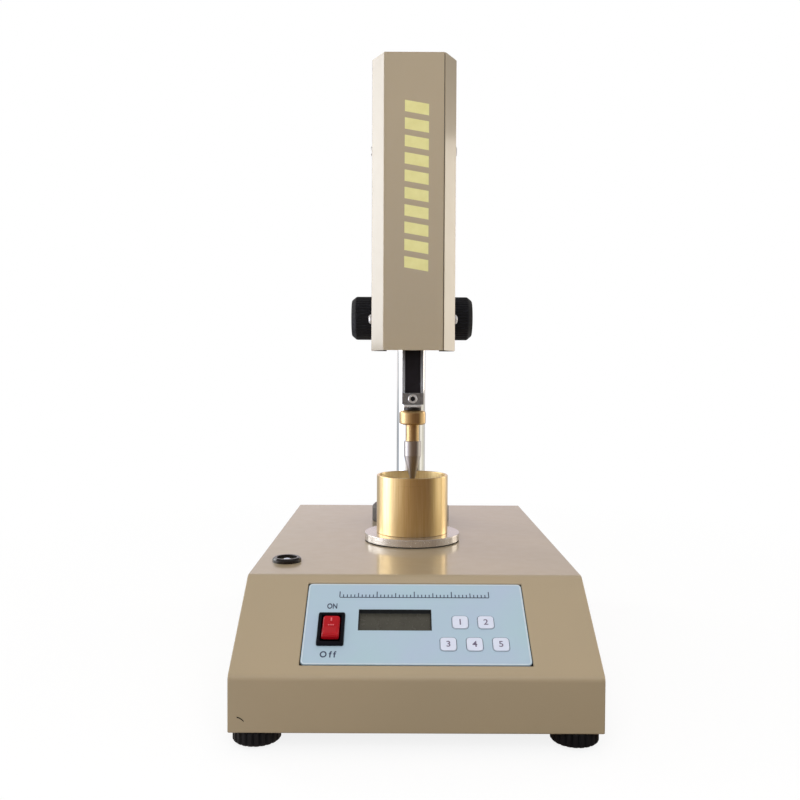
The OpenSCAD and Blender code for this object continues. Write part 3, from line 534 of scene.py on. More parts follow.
# Head cover: folded front with bevelled edges and a seam at its right, closed at the top
HEAD_FRONT_W, HEAD_BEVEL_D, HEAD_SHEET = 44.2, 17, 1.2
HEAD_SIDE_R, HEAD_FRONT_R = 2.5, 1.2
SEAM_W, SEAM_DEEP, SEAM_SLOPE, SEAM_R = 0.7, 0.6, 0.14, 0.25
SEAM_LIP_X, SEAM_LIP_Y = 0.25, 0.46


def head_skin():
    half, front = head_high.x, HEAD_FRONT_W / 2
    y_front, y_back = head_low.y, head_high.y
    y_side = y_front + HEAD_BEVEL_D
    left = [(-half, y_back), (-half, y_side, HEAD_SIDE_R), (-front, y_front, HEAD_FRONT_R)]
    seam = [
        (front - SEAM_W, y_front, SEAM_R), (front - SEAM_W + SEAM_SLOPE, y_front + SEAM_DEEP),
        (front - SEAM_SLOPE, y_front + SEAM_DEEP),
        (front + SEAM_LIP_X, y_front + SEAM_LIP_Y, SEAM_R),
    ]
    right = [(half, y_side, HEAD_SIDE_R), (half, y_back)]
    outline = rounded(left + seam + right)
    count = len(outline)
    corners = level(outline, head_low.z) + level(outline, head_high.z)
    faces = [(i, i + 1, count + i + 1, count + i) for i in range(count - 1)]
    faces.append(tuple(range(count, 2 * count)))
    return corners, faces


piece("head_shell", [head_skin()], "head_paint", "head", ["head_cover"], edge=0.6, limit=70,
      sheet=HEAD_SHEET)

# Dark strip in the seam, painted shade in its hollow, ending under the top's rounded edge
SEAM_SHADE_W, SEAM_SHADE_END = 0.42, 0.7
seam_x, seam_y = HEAD_FRONT_W / 2 - SEAM_W / 2, head_low.y + SEAM_DEEP
piece("head_seam_shade", [block(
    (seam_x - SEAM_SHADE_W / 2, seam_y - INK, head_low.z),
    (seam_x + SEAM_SHADE_W / 2, seam_y + INK, head_high.z - SEAM_SHADE_END),
)], "dark_paint", "head")

# Plain slanted bars on the head's front, where the photograph has lettering
BARS = 10
BAR_X, BAR_W, BAR_H, BAR_SLANT = 1.7, 17.5, 8.2, 3.0
BARS_LOW, BARS_HIGH = 289.8, 402.2
BAR_PITCH = (BARS_HIGH - BARS_LOW) / (BARS - 1)


def bar(z):
    w, h, slant = BAR_W / 2, BAR_H / 2, BAR_SLANT / 2
    outline = [(-w, -h + slant), (w, -h - slant), (w, h - slant), (-w, h + slant)]
    return moved(prism(outline, 0, INK), facing_front(BAR_X, head_low.y, z))


piece("head_bars", [bar(BARS_LOW + i * BAR_PITCH) for i in range(BARS)], "yellow_ink", "head")

# Pan-head screws with a cross recess, on the head's sides
SCREW_R, SCREW_H = 3.5, 2.2
SCREW_SHANK_R, SCREW_SHANK = 2.0, 4.5
# Shares of the head's radius and height
SCREW_DOME = [(1, 0), (1, 0.4), (0.92, 0.7), (0.74, 0.92), (0.62, 1)]
# The cross: its arm as a share of the head's radius, its width and its depth
SCREW_RECESS = [(0.52, 0.9, 0), (0.4, 0.7, 0.8)]


def cross_screw(place, tall):
    rows = [(circle(SCREW_SHANK_R), -SCREW_SHANK), (circle(SCREW_SHANK_R), 0)]
    rows += [(circle(SCREW_R * across), tall * up) for across, up in SCREW_DOME]
    rows += [(cross(SCREW_R * arm, width), tall - deep) for arm, width, deep in SCREW_RECESS]
    return moved(stacked(rows), place)


screw_low, screw_high = span("cover_screws")
screw_y = (screw_low.y + screw_high.y) / 2
screw_zs = (screw_low.z + SCREW_R, screw_high.z - SCREW_R)
piece("side_screws", [
    cross_screw(along_x(side * head_high.x, screw_y, z, side), tall)
    for side in (-1, 1) for z, tall in zip(screw_zs, (SCREW_H, SCREW_H / 2))
], "fastener", "head", ["cover_screws"])

# Lift knobs: ribbed rims, domed ends with a shallow cap
knob_low, knob_high = span("knob_right")
KNOB_Y, KNOB_Z = (knob_low.y + knob_high.y) / 2, (knob_low.z + knob_high.z) / 2
KNOB_R, KNOB_L = (knob_high.z - knob_low.z) / 2, 20.5
HUB_R, DOME_H, DOME_IN = 8.5, 4, 3.4
CAP_R, CAP_SLOPE, CAP_EDGE, CAP_SINK = 10.2, 0.4, 0.5, 0.4
KNOB_RIBS, RIB, RIB_SHARP = 44, 0.5, 1.5
# Lengths over which the ribs fade in and out, and where they end before the knob's end
RIB_IN, RIB_OUT, RIB_END = 1.2, 1.5, 3.2
RIB_STEPS, RIM_ROWS = 6, 8


def knob(side):
    hub, outer = knob_low.x, knob_high.x
    inner = outer - KNOB_L

    def ribs(angle, z):
        fade = min(1, max(0, (z - inner) / RIB_IN), max(0, (outer - RIB_END - z) / RIB_OUT))
        return RIB * fade * (0.5 - 0.5 * math.cos(KNOB_RIBS * angle)) ** RIB_SHARP

    profile = rounded([
        (0, hub), (HUB_R, hub, 0.4), (HUB_R, inner, 0.5), (KNOB_R, inner, 1.0),
        (KNOB_R, outer - DOME_H, 2.5), (KNOB_R - DOME_IN, outer, 2.0), (CAP_R, outer, 0.3),
        (CAP_R - CAP_SLOPE, outer - CAP_EDGE, 0.2), (0, outer - CAP_SINK),
    ], steps=4)
    rows = []
    for (r0, z0), (r1, z1) in zip(profile, profile[1:]):
        rows.append((r0, z0))
        if r0 == r1 and r0 > HUB_R + RIB and z1 - z0 > KNOB_L / 4:
            rows += [(r0, z0 + (z1 - z0) * k / RIM_ROWS) for k in range(1, RIM_ROWS)]
    rows.append(profile[-1])
    place = along_x(0, KNOB_Y, KNOB_Z, side)
    return moved(revolved(rows, KNOB_RIBS * RIB_STEPS, ribs), place)


for side, word in ((-1, "left"), (1, "right")):
    piece(f"lift_knob_{word}", [knob(side)], "black_plastic", "knobs", [f"knob_{word}"])

# Levelling feet: fluted wheels on their studs, hollow for the pads
FOOT_FLUTES, FLUTE, FLUTE_SHARP, FLUTE_STEPS = 22, 1.0, 1.5, 8
FLUTE_LEAD, FLUTE_IN = 0.6, 1.4
FOOT_GAP, FOOT_CHAMFER, STUD_R = 0.3, 0.9, 4
PAD_WELL_R, PAD_WELL = 8.8, 0.5


def foot(node):
    low, high = span(node)
    x, y = (low.x + high.x) / 2, (low.y + high.y) / 2
    r, top = (high.x - low.x) / 2, Z_BASE - FOOT_GAP
    well = low.z + PAD_WELL

    def flutes(angle, z):
        fade = min(1, max(0, (z - low.z + FLUTE_LEAD) / FLUTE_IN))
        return FLUTE * fade * max(0, -math.cos(FOOT_FLUTES * angle)) ** FLUTE_SHARP

    profile = rounded([
        (0, well), (PAD_WELL_R, well), (PAD_WELL_R, low.z), (r - FOOT_CHAMFER, low.z, 0.3),
        (r, low.z + FOOT_CHAMFER, 0.4), (r, top, 0.8), (STUD_R, top), (STUD_R, high.z, 0.5),
        (0, high.z),
    ], steps=4)
    return moved(revolved(profile, FOOT_FLUTES * FLUTE_STEPS, flutes), upright(x, y, 0))


for corner in ("front_left", "front_right", "back_left", "back_right"):
    piece(f"wheel_{corner}", [foot(f"foot_{corner}")], "black_plastic", f"wheel_{corner}",
          [f"foot_{corner}"])


# Cup, platform, collar and cone: turned parts on the cup's axis
def on_cup_axis(profile, steps):
    """Profile of (radius, height) or (radius, height, fillet) turned about the cup's axis."""
    return moved(revolved(rounded(profile), steps), upright(0, CUP_Y, 0))


CUP_R, CUP_WALL, CUP_FLOOR = (cup_high.x - cup_low.x) / 2, 2, 3.5
CUP_EDGE_R, CUP_FILLET_R, CUP_STEPS = 0.5, 1.5, 128
REGISTER_R, REGISTER_H = 11.05, 1.3
cup_inner, cup_floor = CUP_R - CUP_WALL, cup_low.z + CUP_FLOOR
register_top = cup_low.z + REGISTER_H
piece("cup", [on_cup_axis([
    (0, register_top), (REGISTER_R, register_top), (REGISTER_R, cup_low.z),
    (CUP_R, cup_low.z, CUP_EDGE_R), (CUP_R, cup_high.z, CUP_EDGE_R),
    (cup_inner, cup_high.z, CUP_EDGE_R), (cup_inner, cup_floor, CUP_FILLET_R), (0, cup_floor),
], steps=CUP_STEPS)], "brass", "cup", ["sample_cup"])

# Thin skin in the cup's bore, for its own finish
BORE_SKIN, BORE_END = 0.06, 0.6
bore = [(0, cup_floor), (cup_inner, cup_floor, CUP_FILLET_R), (cup_inner, cup_high.z - BORE_END)]
bore += [(r - BORE_SKIN, z + BORE_SKIN) for r, z, *_ in reversed(bore[1:])]
bore.append((0, cup_floor + BORE_SKIN))
piece("cup_bore", [on_cup_axis(bore, CUP_STEPS)], "brass_bore", "cup")

disc_low, disc_high = span("platform")
DISC_R, DISC_H, DISC_FOOT = (disc_high.x - disc_low.x) / 2, 6.2, 0.8
REGISTER_PLAY = 0.05
disc_top, disc_step = disc_low.z + DISC_H, disc_low.z + DISC_FOOT
register = REGISTER_R - REGISTER_PLAY
piece("disc", [on_cup_axis([
    (0, disc_low.z), (DISC_R - DISC_FOOT, disc_low.z), (DISC_R - DISC_FOOT, disc_step),
    (DISC_R, disc_step, 0.3), (DISC_R, disc_top, 0.5),
    (register, disc_top), (register, disc_high.z, 0.3), (0, disc_high.z),
], steps=CUP_STEPS)], "disc_steel", "base", ["platform"])

# Black ring filling the undercut under the disc: painted shade for the dark line under its edge
UNDERCUT_SHADE_IN, UNDERCUT_SHADE_GAP = 0.3, 0.02
undercut_shade_top = disc_step - UNDERCUT_SHADE_GAP
piece("disc_undercut_shade", [on_cup_axis([
    (0, disc_low.z), (DISC_R - UNDERCUT_SHADE_IN, disc_low.z), (DISC_R - UNDERCUT_SHADE_IN, undercut_shade_top, 0.2),
    (0, undercut_shade_top),
], steps=96)], "rubber", "base")

collar_low, collar_high = span("cone_collar")
COLLAR_R, COLLAR_H, SHANK_R = (collar_high.x - collar_low.x) / 2, 10.8, 5
KNURLS, KNURL, KNURL_MARGIN, KNURL_STEPS, KNURL_ROWS = 30, 0.14, 0.6, 6, 44
collar_foot = collar_high.z - COLLAR_H


def knurl(angle, z):
    """Two crossing helices, on the shank only."""
    if not collar_low.z + KNURL_MARGIN < z < collar_foot - KNURL_MARGIN:
        return 0
    turn = (z - collar_low.z) / SHANK_R
    first = abs(math.sin((KNURLS * (angle + turn)) / 2))
    second = abs(math.sin((KNURLS * (angle - turn)) / 2))
    return KNURL * (1 - min(first, second))


shank = [(SHANK_R, collar_low.z + (collar_foot - collar_low.z) * k / KNURL_ROWS)
         for k in range(KNURL_ROWS + 1)]
collar = rounded([
    (SHANK_R, collar_foot), (COLLAR_R, collar_foot, 1.8), (COLLAR_R, collar_high.z, 2.2),
    (0, collar_high.z),
])
collar = revolved([(0, collar_low.z), *shank, *collar[1:]], KNURLS * KNURL_STEPS, knurl)
piece("collar", [moved(collar, upright(0, CUP_Y, 0))], "dull_brass", "cone", ["cone_collar"])

tip_low, tip_high = span("cone_tip")
TIP_R, LAND, CONE_HALF_ANGLE = (tip_high.x - tip_low.x) / 2, 11, 15
BLUNT_R, BLUNT_H = 0.25, 0.2
land_low = tip_low.z + TIP_R / math.tan(math.radians(CONE_HALF_ANGLE))
piece("cone_point", [on_cup_axis([
    (0, tip_low.z), (BLUNT_R, tip_low.z + BLUNT_H), (TIP_R, land_low),
    (TIP_R, land_low + LAND, 0.4), (0, land_low + LAND),
], steps=96)], "polished", "cone", ["cone_tip"], crease=12)

# Clamp at the beam's end: plate, grooved round neck, lip, and a socket screw
CLAMP_T, CLAMP_H = 3.4, 8.8
NECK_R, NECK_H, NECK_STEP, GROOVE_H, NECK_GAP = 6.7, 4.5, 1, 2, 0.02
LIP_W, LIP_H, LIP_T = 13.6, 2.2, 1.4
clamp_y = beam_low.y - CLAMP_T
piece("clamp", [
    block((beam_low.x, clamp_y, beam_low.z), (beam_high.x, beam_low.y, beam_low.z + CLAMP_H)),
], "clamp_plate", "cone", ["beam_clamp"], edge=0.35)
neck_low, neck_top = beam_low.z - NECK_H, beam_low.z - NECK_GAP
groove_r, groove_low = NECK_R - NECK_STEP, beam_low.z - GROOVE_H
# The neck's dark steel, darker than the lip above it, is painted shade under the lip
piece("clamp_neck", [on_cup_axis([
    (0, neck_low), (NECK_R, neck_low, 0.6), (NECK_R, groove_low, 0.5),
    (groove_r, groove_low), (groove_r, neck_top), (0, neck_top),
], steps=64)], "black_steel", "cone", crease=20)
piece("clamp_lip", [
    block((-LIP_W / 2, clamp_y - LIP_T, beam_low.z - LIP_H), (LIP_W / 2, beam_low.y, beam_low.z)),
], "fastener", "cone", edge=0.6)

SOCKET, SOCKET_H, SOCKET_EDGE, SOCKET_FLOOR = 1.8, 1.3, 0.5, 0.3
SOCKET_TAPER, SOCKET_SHANK = 0.1, 3
# Black filling, painted shade in the socket: how far it stays off the socket's sides, floor and top
SOCKET_SHADE_SIDE, SOCKET_SHADE_FLOOR, SOCKET_SHADE_TOP = 0.15, 0.05, 0.4
socket_at = facing_front(0, clamp_y, beam_low.z + CLAMP_H / 2)
piece("clamp_socket_screw", [moved(stacked([
    (circle(SCREW_SHANK_R), -SOCKET_SHANK), (circle(SCREW_SHANK_R), 0), (circle(SCREW_R), 0),
    (circle(SCREW_R), SOCKET_H - SOCKET_EDGE), (circle(SCREW_R - SOCKET_EDGE), SOCKET_H),
    (hexagon(SOCKET), SOCKET_H), (hexagon(SOCKET - SOCKET_TAPER), SOCKET_FLOOR),
]), socket_at)], "fastener", "cone", ["clamp_screw"])
socket_shade = prism(polar(hexagon(SOCKET - SOCKET_SHADE_SIDE)), SOCKET_FLOOR + SOCKET_SHADE_FLOOR, SOCKET_H - SOCKET_SHADE_TOP)
piece("clamp_socket_shade", [moved(socket_shade, socket_at)], "black_plastic", "cone")

# Round level: black ring, domed vial and bubble
ring_low, ring_high = span("level_bezel")
RING_R, RING_H, RING_CHAMFER = (ring_high.x - ring_low.x) / 2, 3.0, 1.2
RING_SHOULDER, RING_LIP, RING_LIP_Z = 0.62, 0.4, 1.0
LEVEL_BODY_R, LEVEL_DEEP, LEVEL_FLOOR = 7.7, 5.0, 0.1
VIAL_R, VIAL_DEEP, VIAL_RIM, VIAL_DOME, VIAL_PLAY = 6.38, 4.8, 0.7, 1.1, 0.02
# Radius and height of the bubble's outline
BUBBLE = [(0, 1.7), (2.2, 1.72), (1.76, 1.9), (0.88, 1.98), (0, 2.0)]
level_at = upright((ring_low.x + ring_high.x) / 2, (ring_low.y + ring_high.y) / 2, Z_TOP)
well_r, well_floor = VIAL_R + VIAL_PLAY, LEVEL_FLOOR - LEVEL_DEEP
piece("level_rim", [moved(revolved(rounded([
    (0, -LEVEL_DEEP), (LEVEL_BODY_R, -LEVEL_DEEP), (LEVEL_BODY_R, 0), (RING_R, 0),
    (RING_R, RING_H * RING_SHOULDER, 0.8), (RING_R - RING_CHAMFER, RING_H, 0.5),
    (VIAL_R + RING_LIP, RING_H, 0.3), (well_r, RING_LIP_Z), (well_r, well_floor), (0, well_floor),
])), level_at)], "level_ring", "base", ["level_bezel"])
dome = [
    (VIAL_R * math.cos(a), VIAL_RIM + VIAL_DOME * math.sin(a))
    for a in (math.radians(k) for k in range(0, 90, 10))
]
vial = [(0, -VIAL_DEEP), (VIAL_R, -VIAL_DEEP), *dome, (0, VIAL_RIM + VIAL_DOME)]
piece("level_glass", [moved(revolved(vial, steps=64), level_at)], "level_fluid", "base",
      ["level_vial"])
piece("level_bubble", [moved(revolved(BUBBLE, steps=48), level_at)], "key_white", "base")

# Rocker switch: bezel with a sunken well
switch_low, switch_high = span("switch_housing")
SWITCH_W, SWITCH_L = 15.8, 23.6
SWITCH_X, SWITCH_DOWN = (switch_low.x + switch_high.x) / 2, 43.3
OVERLAY_TOP = -0.2
BEZEL_TOP = OVERLAY_TOP + 2
BODY_FOOT, WELL_FLOOR = OVERLAY_TOP - 16, OVERLAY_TOP - 6.5
# Rings from the body's foot over the rim into the well: narrowing, corner radius, height
BEZEL = [
    (2.2, 0.5, BODY_FOOT), (2.2, 0.5, OVERLAY_TOP), (0, 1.0, OVERLAY_TOP),
    (0, 1.0, BEZEL_TOP - 0.8), (0.4, 0.9, BEZEL_TOP - 0.2), (1.0, 0.8, BEZEL_TOP),
    (3.8, 0.6, BEZEL_TOP), (4.4, 0.4, BEZEL_TOP - 0.5), (4.4, 0.4, WELL_FLOOR),
]
piece("switch_bezel", [moved(lofted([
    level(rounded_rectangle(SWITCH_W - narrow, SWITCH_L - narrow, r), z) for narrow, r, z in BEZEL
]), panel(SWITCH_X, SWITCH_DOWN))], "switch_black", "base", ["switch_housing"])

# Rocker: creased across the middle, rounded at its sides
ROCKER_W, ROCKER_L, ROCKER_EDGE = 10.2, 16.8, 1.8
ROCKER_TILT, ROCKER_OUT = math.radians(-9), 0.4
ROCKER_RISE, ROCKER_DIP, ROCKER_ROOT = 3.4, 1.3, 4.0
ROCKER_UPPER_R, ROCKER_CREASE_R, ROCKER_LOWER_R = 0.7, 3, 1.8
rocker_at = panel(SWITCH_X, SWITCH_DOWN, OVERLAY_TOP + ROCKER_OUT)
rocker_at = rocker_at @ Matrix.Rotation(ROCKER_TILT, 4, "X")
crease_z = ROCKER_RISE - ROCKER_DIP
rocker_side = rounded([
    (-ROCKER_L / 4, -ROCKER_ROOT), (ROCKER_L / 4, -ROCKER_ROOT), (ROCKER_L / 2, 0),
    (ROCKER_L / 2, ROCKER_RISE, ROCKER_UPPER_R), (0, crease_z, ROCKER_CREASE_R),
    (-ROCKER_L / 2, ROCKER_RISE, ROCKER_LOWER_R), (-ROCKER_L / 2, 0),
], steps=6, closed=True)


def rocker_ring(side, angle):
    """Section at one place across the rocker, drawn in as its rounded side falls away."""
    x = side * (ROCKER_W / 2 - ROCKER_EDGE * (1 - math.sin(angle)))
    drop = ROCKER_EDGE * (1 - math.cos(angle))
    inset = 1 - drop / ROCKER_L
    return [(x, y * inset, z - drop * max(0, z) / ROCKER_RISE) for y, z in rocker_side]


round_off = [math.radians(k) for k in range(0, 91, 15)]
rocker = [rocker_ring(-1, a) for a in reversed(round_off)] + [rocker_ring(1, a) for a in round_off]
piece("rocker", [moved(lofted(rocker), rocker_at)], "switch_red", "rocker", ["switch_rocker"])

# The rocker's on mark, and under it a row of three dashes by the crease that are painted glints
MARK_W, MARK_LOW, MARK_HIGH, MARK_SINK = 0.84, 4.0, 6.6, 0.25
GLINT_W, GLINT_PITCH, GLINT_LOW, GLINT_HIGH = 0.9, 1.3, 0.7, 1.5
GLINT_ROOT, GLINT_RISE = 1, 0.42
marks_and_glints = [block((-MARK_W / 2, MARK_LOW, 0), (MARK_W / 2, MARK_HIGH, ROCKER_RISE - MARK_SINK))]
marks_and_glints += [
    block((x - GLINT_W / 2, GLINT_LOW, GLINT_ROOT), (x + GLINT_W / 2, GLINT_HIGH, crease_z + GLINT_RISE))
    for x in (-GLINT_PITCH, 0, GLINT_PITCH)
]
piece("rocker_mark_and_glints", [moved(mark, rocker_at) for mark in marks_and_glints], "pink_ink_and_glints", "rocker")

# Keys: crowned caps with a plain number
KEY, KEY_R, KEY_LEAST_R, KEY_TOP = 9.3, 2.0, 0.3, 0.3
KEY_STEM_R, KEY_STEM = 2.0, 3.2
# Place of each key: across and down the panel
KEYS = [(26.4, 37.5), (41.6, 37.5), (18.7, 53.6), (33.9, 53.6), (49.1, 53.6)]
# Rings of a cap from its skirt to its crown: inset and height
KEY_RINGS = [(0, -1.0), (0, -0.25), (0.12, -0.08), (0.35, 0), (1.6, 0.03), (3.6, 0.05)]
NUMBER_H, NUMBER_BOLD, NUMBER_RISE = 4.2, 0.1, 0.06


def key_outline(wider):
    side = KEY + wider
    return rounded_rectangle(side, side, max(KEY_LEAST_R, KEY_R + wider / 2))


def keycap(place):
    cap = lofted([level(key_outline(-2 * inset), z) for inset, z in KEY_RINGS])
    skirt = KEY_RINGS[0][1]
    root = skirt - KEY_STEM
    stem = [(0, root), (KEY_STEM_R, root), (KEY_STEM_R, skirt), (0, skirt)]
    return [moved(cap, place), moved(revolved(stem, steps=32), place)]


for number, (x, down) in enumerate(KEYS, 1):
    body = f"button_{number}"
    piece(f"keycap_{number}", keycap(panel(x, down, KEY_TOP)), "key_white", body,
          [f"key_{number}"])
    figure = lettering(str(number), NUMBER_H, weight=NUMBER_BOLD)
    piece(f"key_number_{number}", [moved(figure, panel(x, down, KEY_TOP + NUMBER_RISE))],
          "plum_ink", body)

# Frames and lines printed round the keys
KEY_FRAME, FRAME_R, FRAME_GAP = 10.7, 0.8, 0.3
KEY_EDGE, KEY_LINE = 0.9, 0.3


def printed(shape, rise=0):
    """The shape at every key, on the overlay."""
    return [moved(shape, panel(x, down, OVERLAY_TOP + rise)) for x, down in KEYS]


piece("key_frames", printed(ring_print(
    rounded_rectangle(KEY_FRAME, KEY_FRAME, FRAME_R), key_outline(FRAME_GAP),
)), "overlay_print", "base")
piece("key_outlines", printed(ring_print(
    key_outline(KEY_EDGE), key_outline(KEY_EDGE - 2 * KEY_LINE),
), INK), "pale_ink", "base")

# Legends at the switch: words, letter spacing, height, width, place across and down the panel
LEGENDS = [("ON", 1.0, 4.2, 6.1, -50.1, 25.3), ("Off", 1.5, 4.4, 9.4, -50.2, 61.0)]
LEGEND_BOLD = 0.16
piece("switch_legends", [
    moved(lettering(words, tall, wide, LEGEND_BOLD, gap), panel(x, down, OVERLAY_TOP + INK / 2))
    for words, gap, tall, wide, x, down in LEGENDS
], "blue_ink", "base")

# Plain graduated rule along the overlay's top, where the photograph has a title
RULE_LEFT, RULE_RIGHT, RULE_DOWN = -46.0, 45.0, 18.0
RULE_LINE, RULE_TICKS = 0.6, 40
TENTH, FIFTH, TICK = 4.4, 3.2, 2.0


def rule_tick(i):
    x = RULE_LEFT + (RULE_RIGHT - RULE_LEFT) * i / RULE_TICKS
    tall = TENTH if i % 10 == 0 else FIFTH if i % 5 == 0 else TICK
    return block((x - RULE_LINE / 2, 0, 0), (x + RULE_LINE / 2, tall, INK))


rule = [rule_tick(i) for i in range(RULE_TICKS + 1)]
rule.append(block((RULE_LEFT, -RULE_LINE, 0), (RULE_RIGHT, 0, INK)))
rule_at = panel(0, RULE_DOWN, OVERLAY_TOP)
piece("panel_rule", [moved(line, rule_at) for line in rule], "blue_ink", "base")

# Pale border printed along the overlay's edge
BORDER, BORDER_IN, OVERLAY_R = 0.7, 0.25, 2.5
border = ring_print(*(
    rounded_rectangle(PANEL_W - 2 * d, PANEL_L - 2 * d, OVERLAY_R - d)
    for d in (BORDER_IN, BORDER_IN + BORDER)
))
piece("overlay_border", [moved(border, panel(0, PANEL_TOP + PANEL_L / 2, OVERLAY_TOP))],
      "border_ink", "base")

# Display: black mask over the glass's edges, and a sleeve up to the overlay
LCD_W, LCD_L, LCD_X, LCD_DOWN, LCD_TOP = 43.5, 16.0, -12.2, 35.7, -3.3
MASK, MASK_T = 0.6, 0.25
SLEEVE, SLEEVE_GAP = 0.3, 0.05
w, h = LCD_W / 2, LCD_L / 2
sleeve_top = OVERLAY_TOP - LCD_TOP - SLEEVE_GAP
lcd_at = panel(LCD_X, LCD_DOWN, LCD_TOP)
piece("display_mask", [moved(block(*pair), lcd_at) for pair in (
    ((-w, h - MASK, 0), (w, h, MASK_T)), ((-w, -h, 0), (w, -h + MASK, MASK_T)),
    ((-w, -h + MASK, 0), (-w + MASK, h - MASK, MASK_T)),
    ((w - MASK, -h + MASK, 0), (w, h - MASK, MASK_T)),
    ((-w, h - SLEEVE, 0), (w, h, sleeve_top)), ((-w, -h, 0), (w, -h + SLEEVE, sleeve_top)),
    ((-w, -h, 0), (-w + SLEEVE, h, sleeve_top)), ((w - SLEEVE, -h, 0), (w, h, sleeve_top)),
)], "mask_black", "base")

# Scratch through the paint, low on the fascia's left
SCRATCH = [(-2.1, 1.1), (-0.7, 0.7), (0.6, -0.1), (1.8, -1.2)]
SCRATCH_W, SCRATCH_X, SCRATCH_Z = 0.7, -97.6, 17.9
scratch = [(x, z + SCRATCH_W / 2) for x, z in SCRATCH]
scratch += [(x, z - SCRATCH_W / 2) for x, z in reversed(SCRATCH)]
scratch_at = facing_front(SCRATCH_X, Y_FRONT, SCRATCH_Z)
piece("paint_scratch", [moved(prism(scratch, 0, INK), scratch_at)], "dark_paint", "base")

# CAD nodes that stay, with their edges rounded
for node, edge in (
    ("scale_beam", 0.25), ("power_inlet", 0.4), ("head_carriage", 0.8), ("head_frame", 0.3),
    ("column_flange", 0.4),
):
    soften_node(node, edge)


def bare_material(name):
    """Material with only its output; returns it and its node tree."""
    made = bpy.data.materials.new(name)
    made.use_nodes = True
    made.node_tree.nodes.remove(made.node_tree.nodes["Principled BSDF"])
    return made, made.node_tree


def set_surface(tree, shader, output="Material Output"):
    tree.links.new(shader, tree.nodes[output].inputs["Surface"])


def stage_piece(name, shape, material):
    mesh = bpy.data.meshes.new(name)
    mesh.from_pydata([Vector(c) * MM for c in shape[0]], [], shape[1])
    mesh.materials.append(material)
    made = bpy.data.objects.new(name, mesh)
    scene.collection.objects.link(made)
    return made


def background_rays(tree):
    """1 on rays that should see the white background: from the camera, metal and glass."""
    path = add_node(tree, "LightPath").outputs
    rays = path["Is Camera Ray"]
    for name in ("Is Glossy Ray", "Is Transmission Ray"):
        rays = add_node(tree, "Math", {0: rays, 1: path[name]}, operation="MAXIMUM").outputs[0]
    return rays


# Floor: white with a soft shadow, and one with the background further out.
# It fades between these distances from the middle, in metres.
FLOOR = 9000.0
FLOOR_GLOW, FLOOR_BOUNCE = 0.85, 0.3
FADE_FROM, FADE_TO = 0.25, 0.8
white_floor, tree = bare_material("white_floor")
rays = background_rays(tree)
place = add_node(tree, "TexCoord").outputs["Object"]
away = add_node(tree, "VectorMath", {0: place}, operation="LENGTH").outputs["Value"]
glow_share = add_node(tree, "MapRange", {
    "Value": away, "From Min": FADE_FROM, "From Max": FADE_TO, "To Min": FLOOR_GLOW, "To Max": 1.0,
}).outputs["Result"]
share = add_node(tree, "Math", {0: rays, 1: glow_share}, operation="MULTIPLY").outputs[0]
tint = add_node(tree, "MapRange", {"Value": rays, "To Min": FLOOR_BOUNCE, "To Max": 1.0})
lit = add_node(tree, "BsdfDiffuse", {"Color": tint.outputs["Result"]}).outputs[0]
glow = add_node(tree, "Emission").outputs[0]
set_surface(tree, add_node(tree, "MixShader", {0: share, 1: lit, 2: glow}).outputs[0])
ground = [(-FLOOR, -FLOOR, 0), (FLOOR, -FLOOR, 0), (FLOOR, FLOOR, 0), (-FLOOR, FLOOR, 0)]
stage_piece("floor", (ground, [(0, 1, 2, 3)]), white_floor)

# World: dim fill on the object, white behind it
AMBIENT = 0.45
WHITE = (1, 1, 1, 1)
world = bpy.data.worlds.new("studio")
scene.world = world
world.use_nodes = True
tree = world.node_tree
fill = tree.nodes["Background"]
fill.inputs["Color"].default_value = WHITE
fill.inputs["Strength"].default_value = AMBIENT
backdrop = add_node(tree, "Background", {"Color": WHITE, "Strength": 1.0}).outputs[0]
blend = add_node(tree, "MixShader", {0: background_rays(tree), 1: fill.outputs[0], 2: backdrop})
set_surface(tree, blend.outputs[0], "World Output")


def softbox(name, place, target, width, height, power, colour=(1, 1, 1), glossy=True, spread=180):
    """Area lamp; its place, target and size are in metres."""
    lamp = bpy.data.lights.new(name, "AREA")
    lamp.shape = "RECTANGLE"
    lamp.size, lamp.size_y = width, height
    lamp.energy = power
    lamp.color = colour
    lamp.spread = math.radians(spread)
    made = bpy.data.objects.new(name, lamp)
    made.location = place
    made.rotation_euler = (Vector(target) - Vector(place)).to_track_quat("-Z", "Y").to_euler()
    made.visible_glossy = glossy
    scene.collection.objects.link(made)


softbox("key_box", (0, -1.1, 0.9), (0, 0, 0.15), 1.2, 0.8, 9.7, glossy=False)
softbox("top_box", (0, 0.1, 1.6), (0, 0, 0.1), 1.0, 1.0, 4.8, (1, 0.94, 0.89), glossy=False)
softbox("head_light", (0, -1.4, 0.42), (0, 0, 0.31), 0.3, 0.3, 0.09, (0.85, 0.97, 1.2),
        glossy=False, spread=26)
softbox("right_box", (1.02, 0.72, 0.445), (0, 0, 0.445), 0.55, 0.55, 2.7, (1, 0.92, 0.81))
softbox("left_strip", (-1.17, 0.77, 0.72), (0, 0, 0.5), 0.45, 0.9, 5.4)

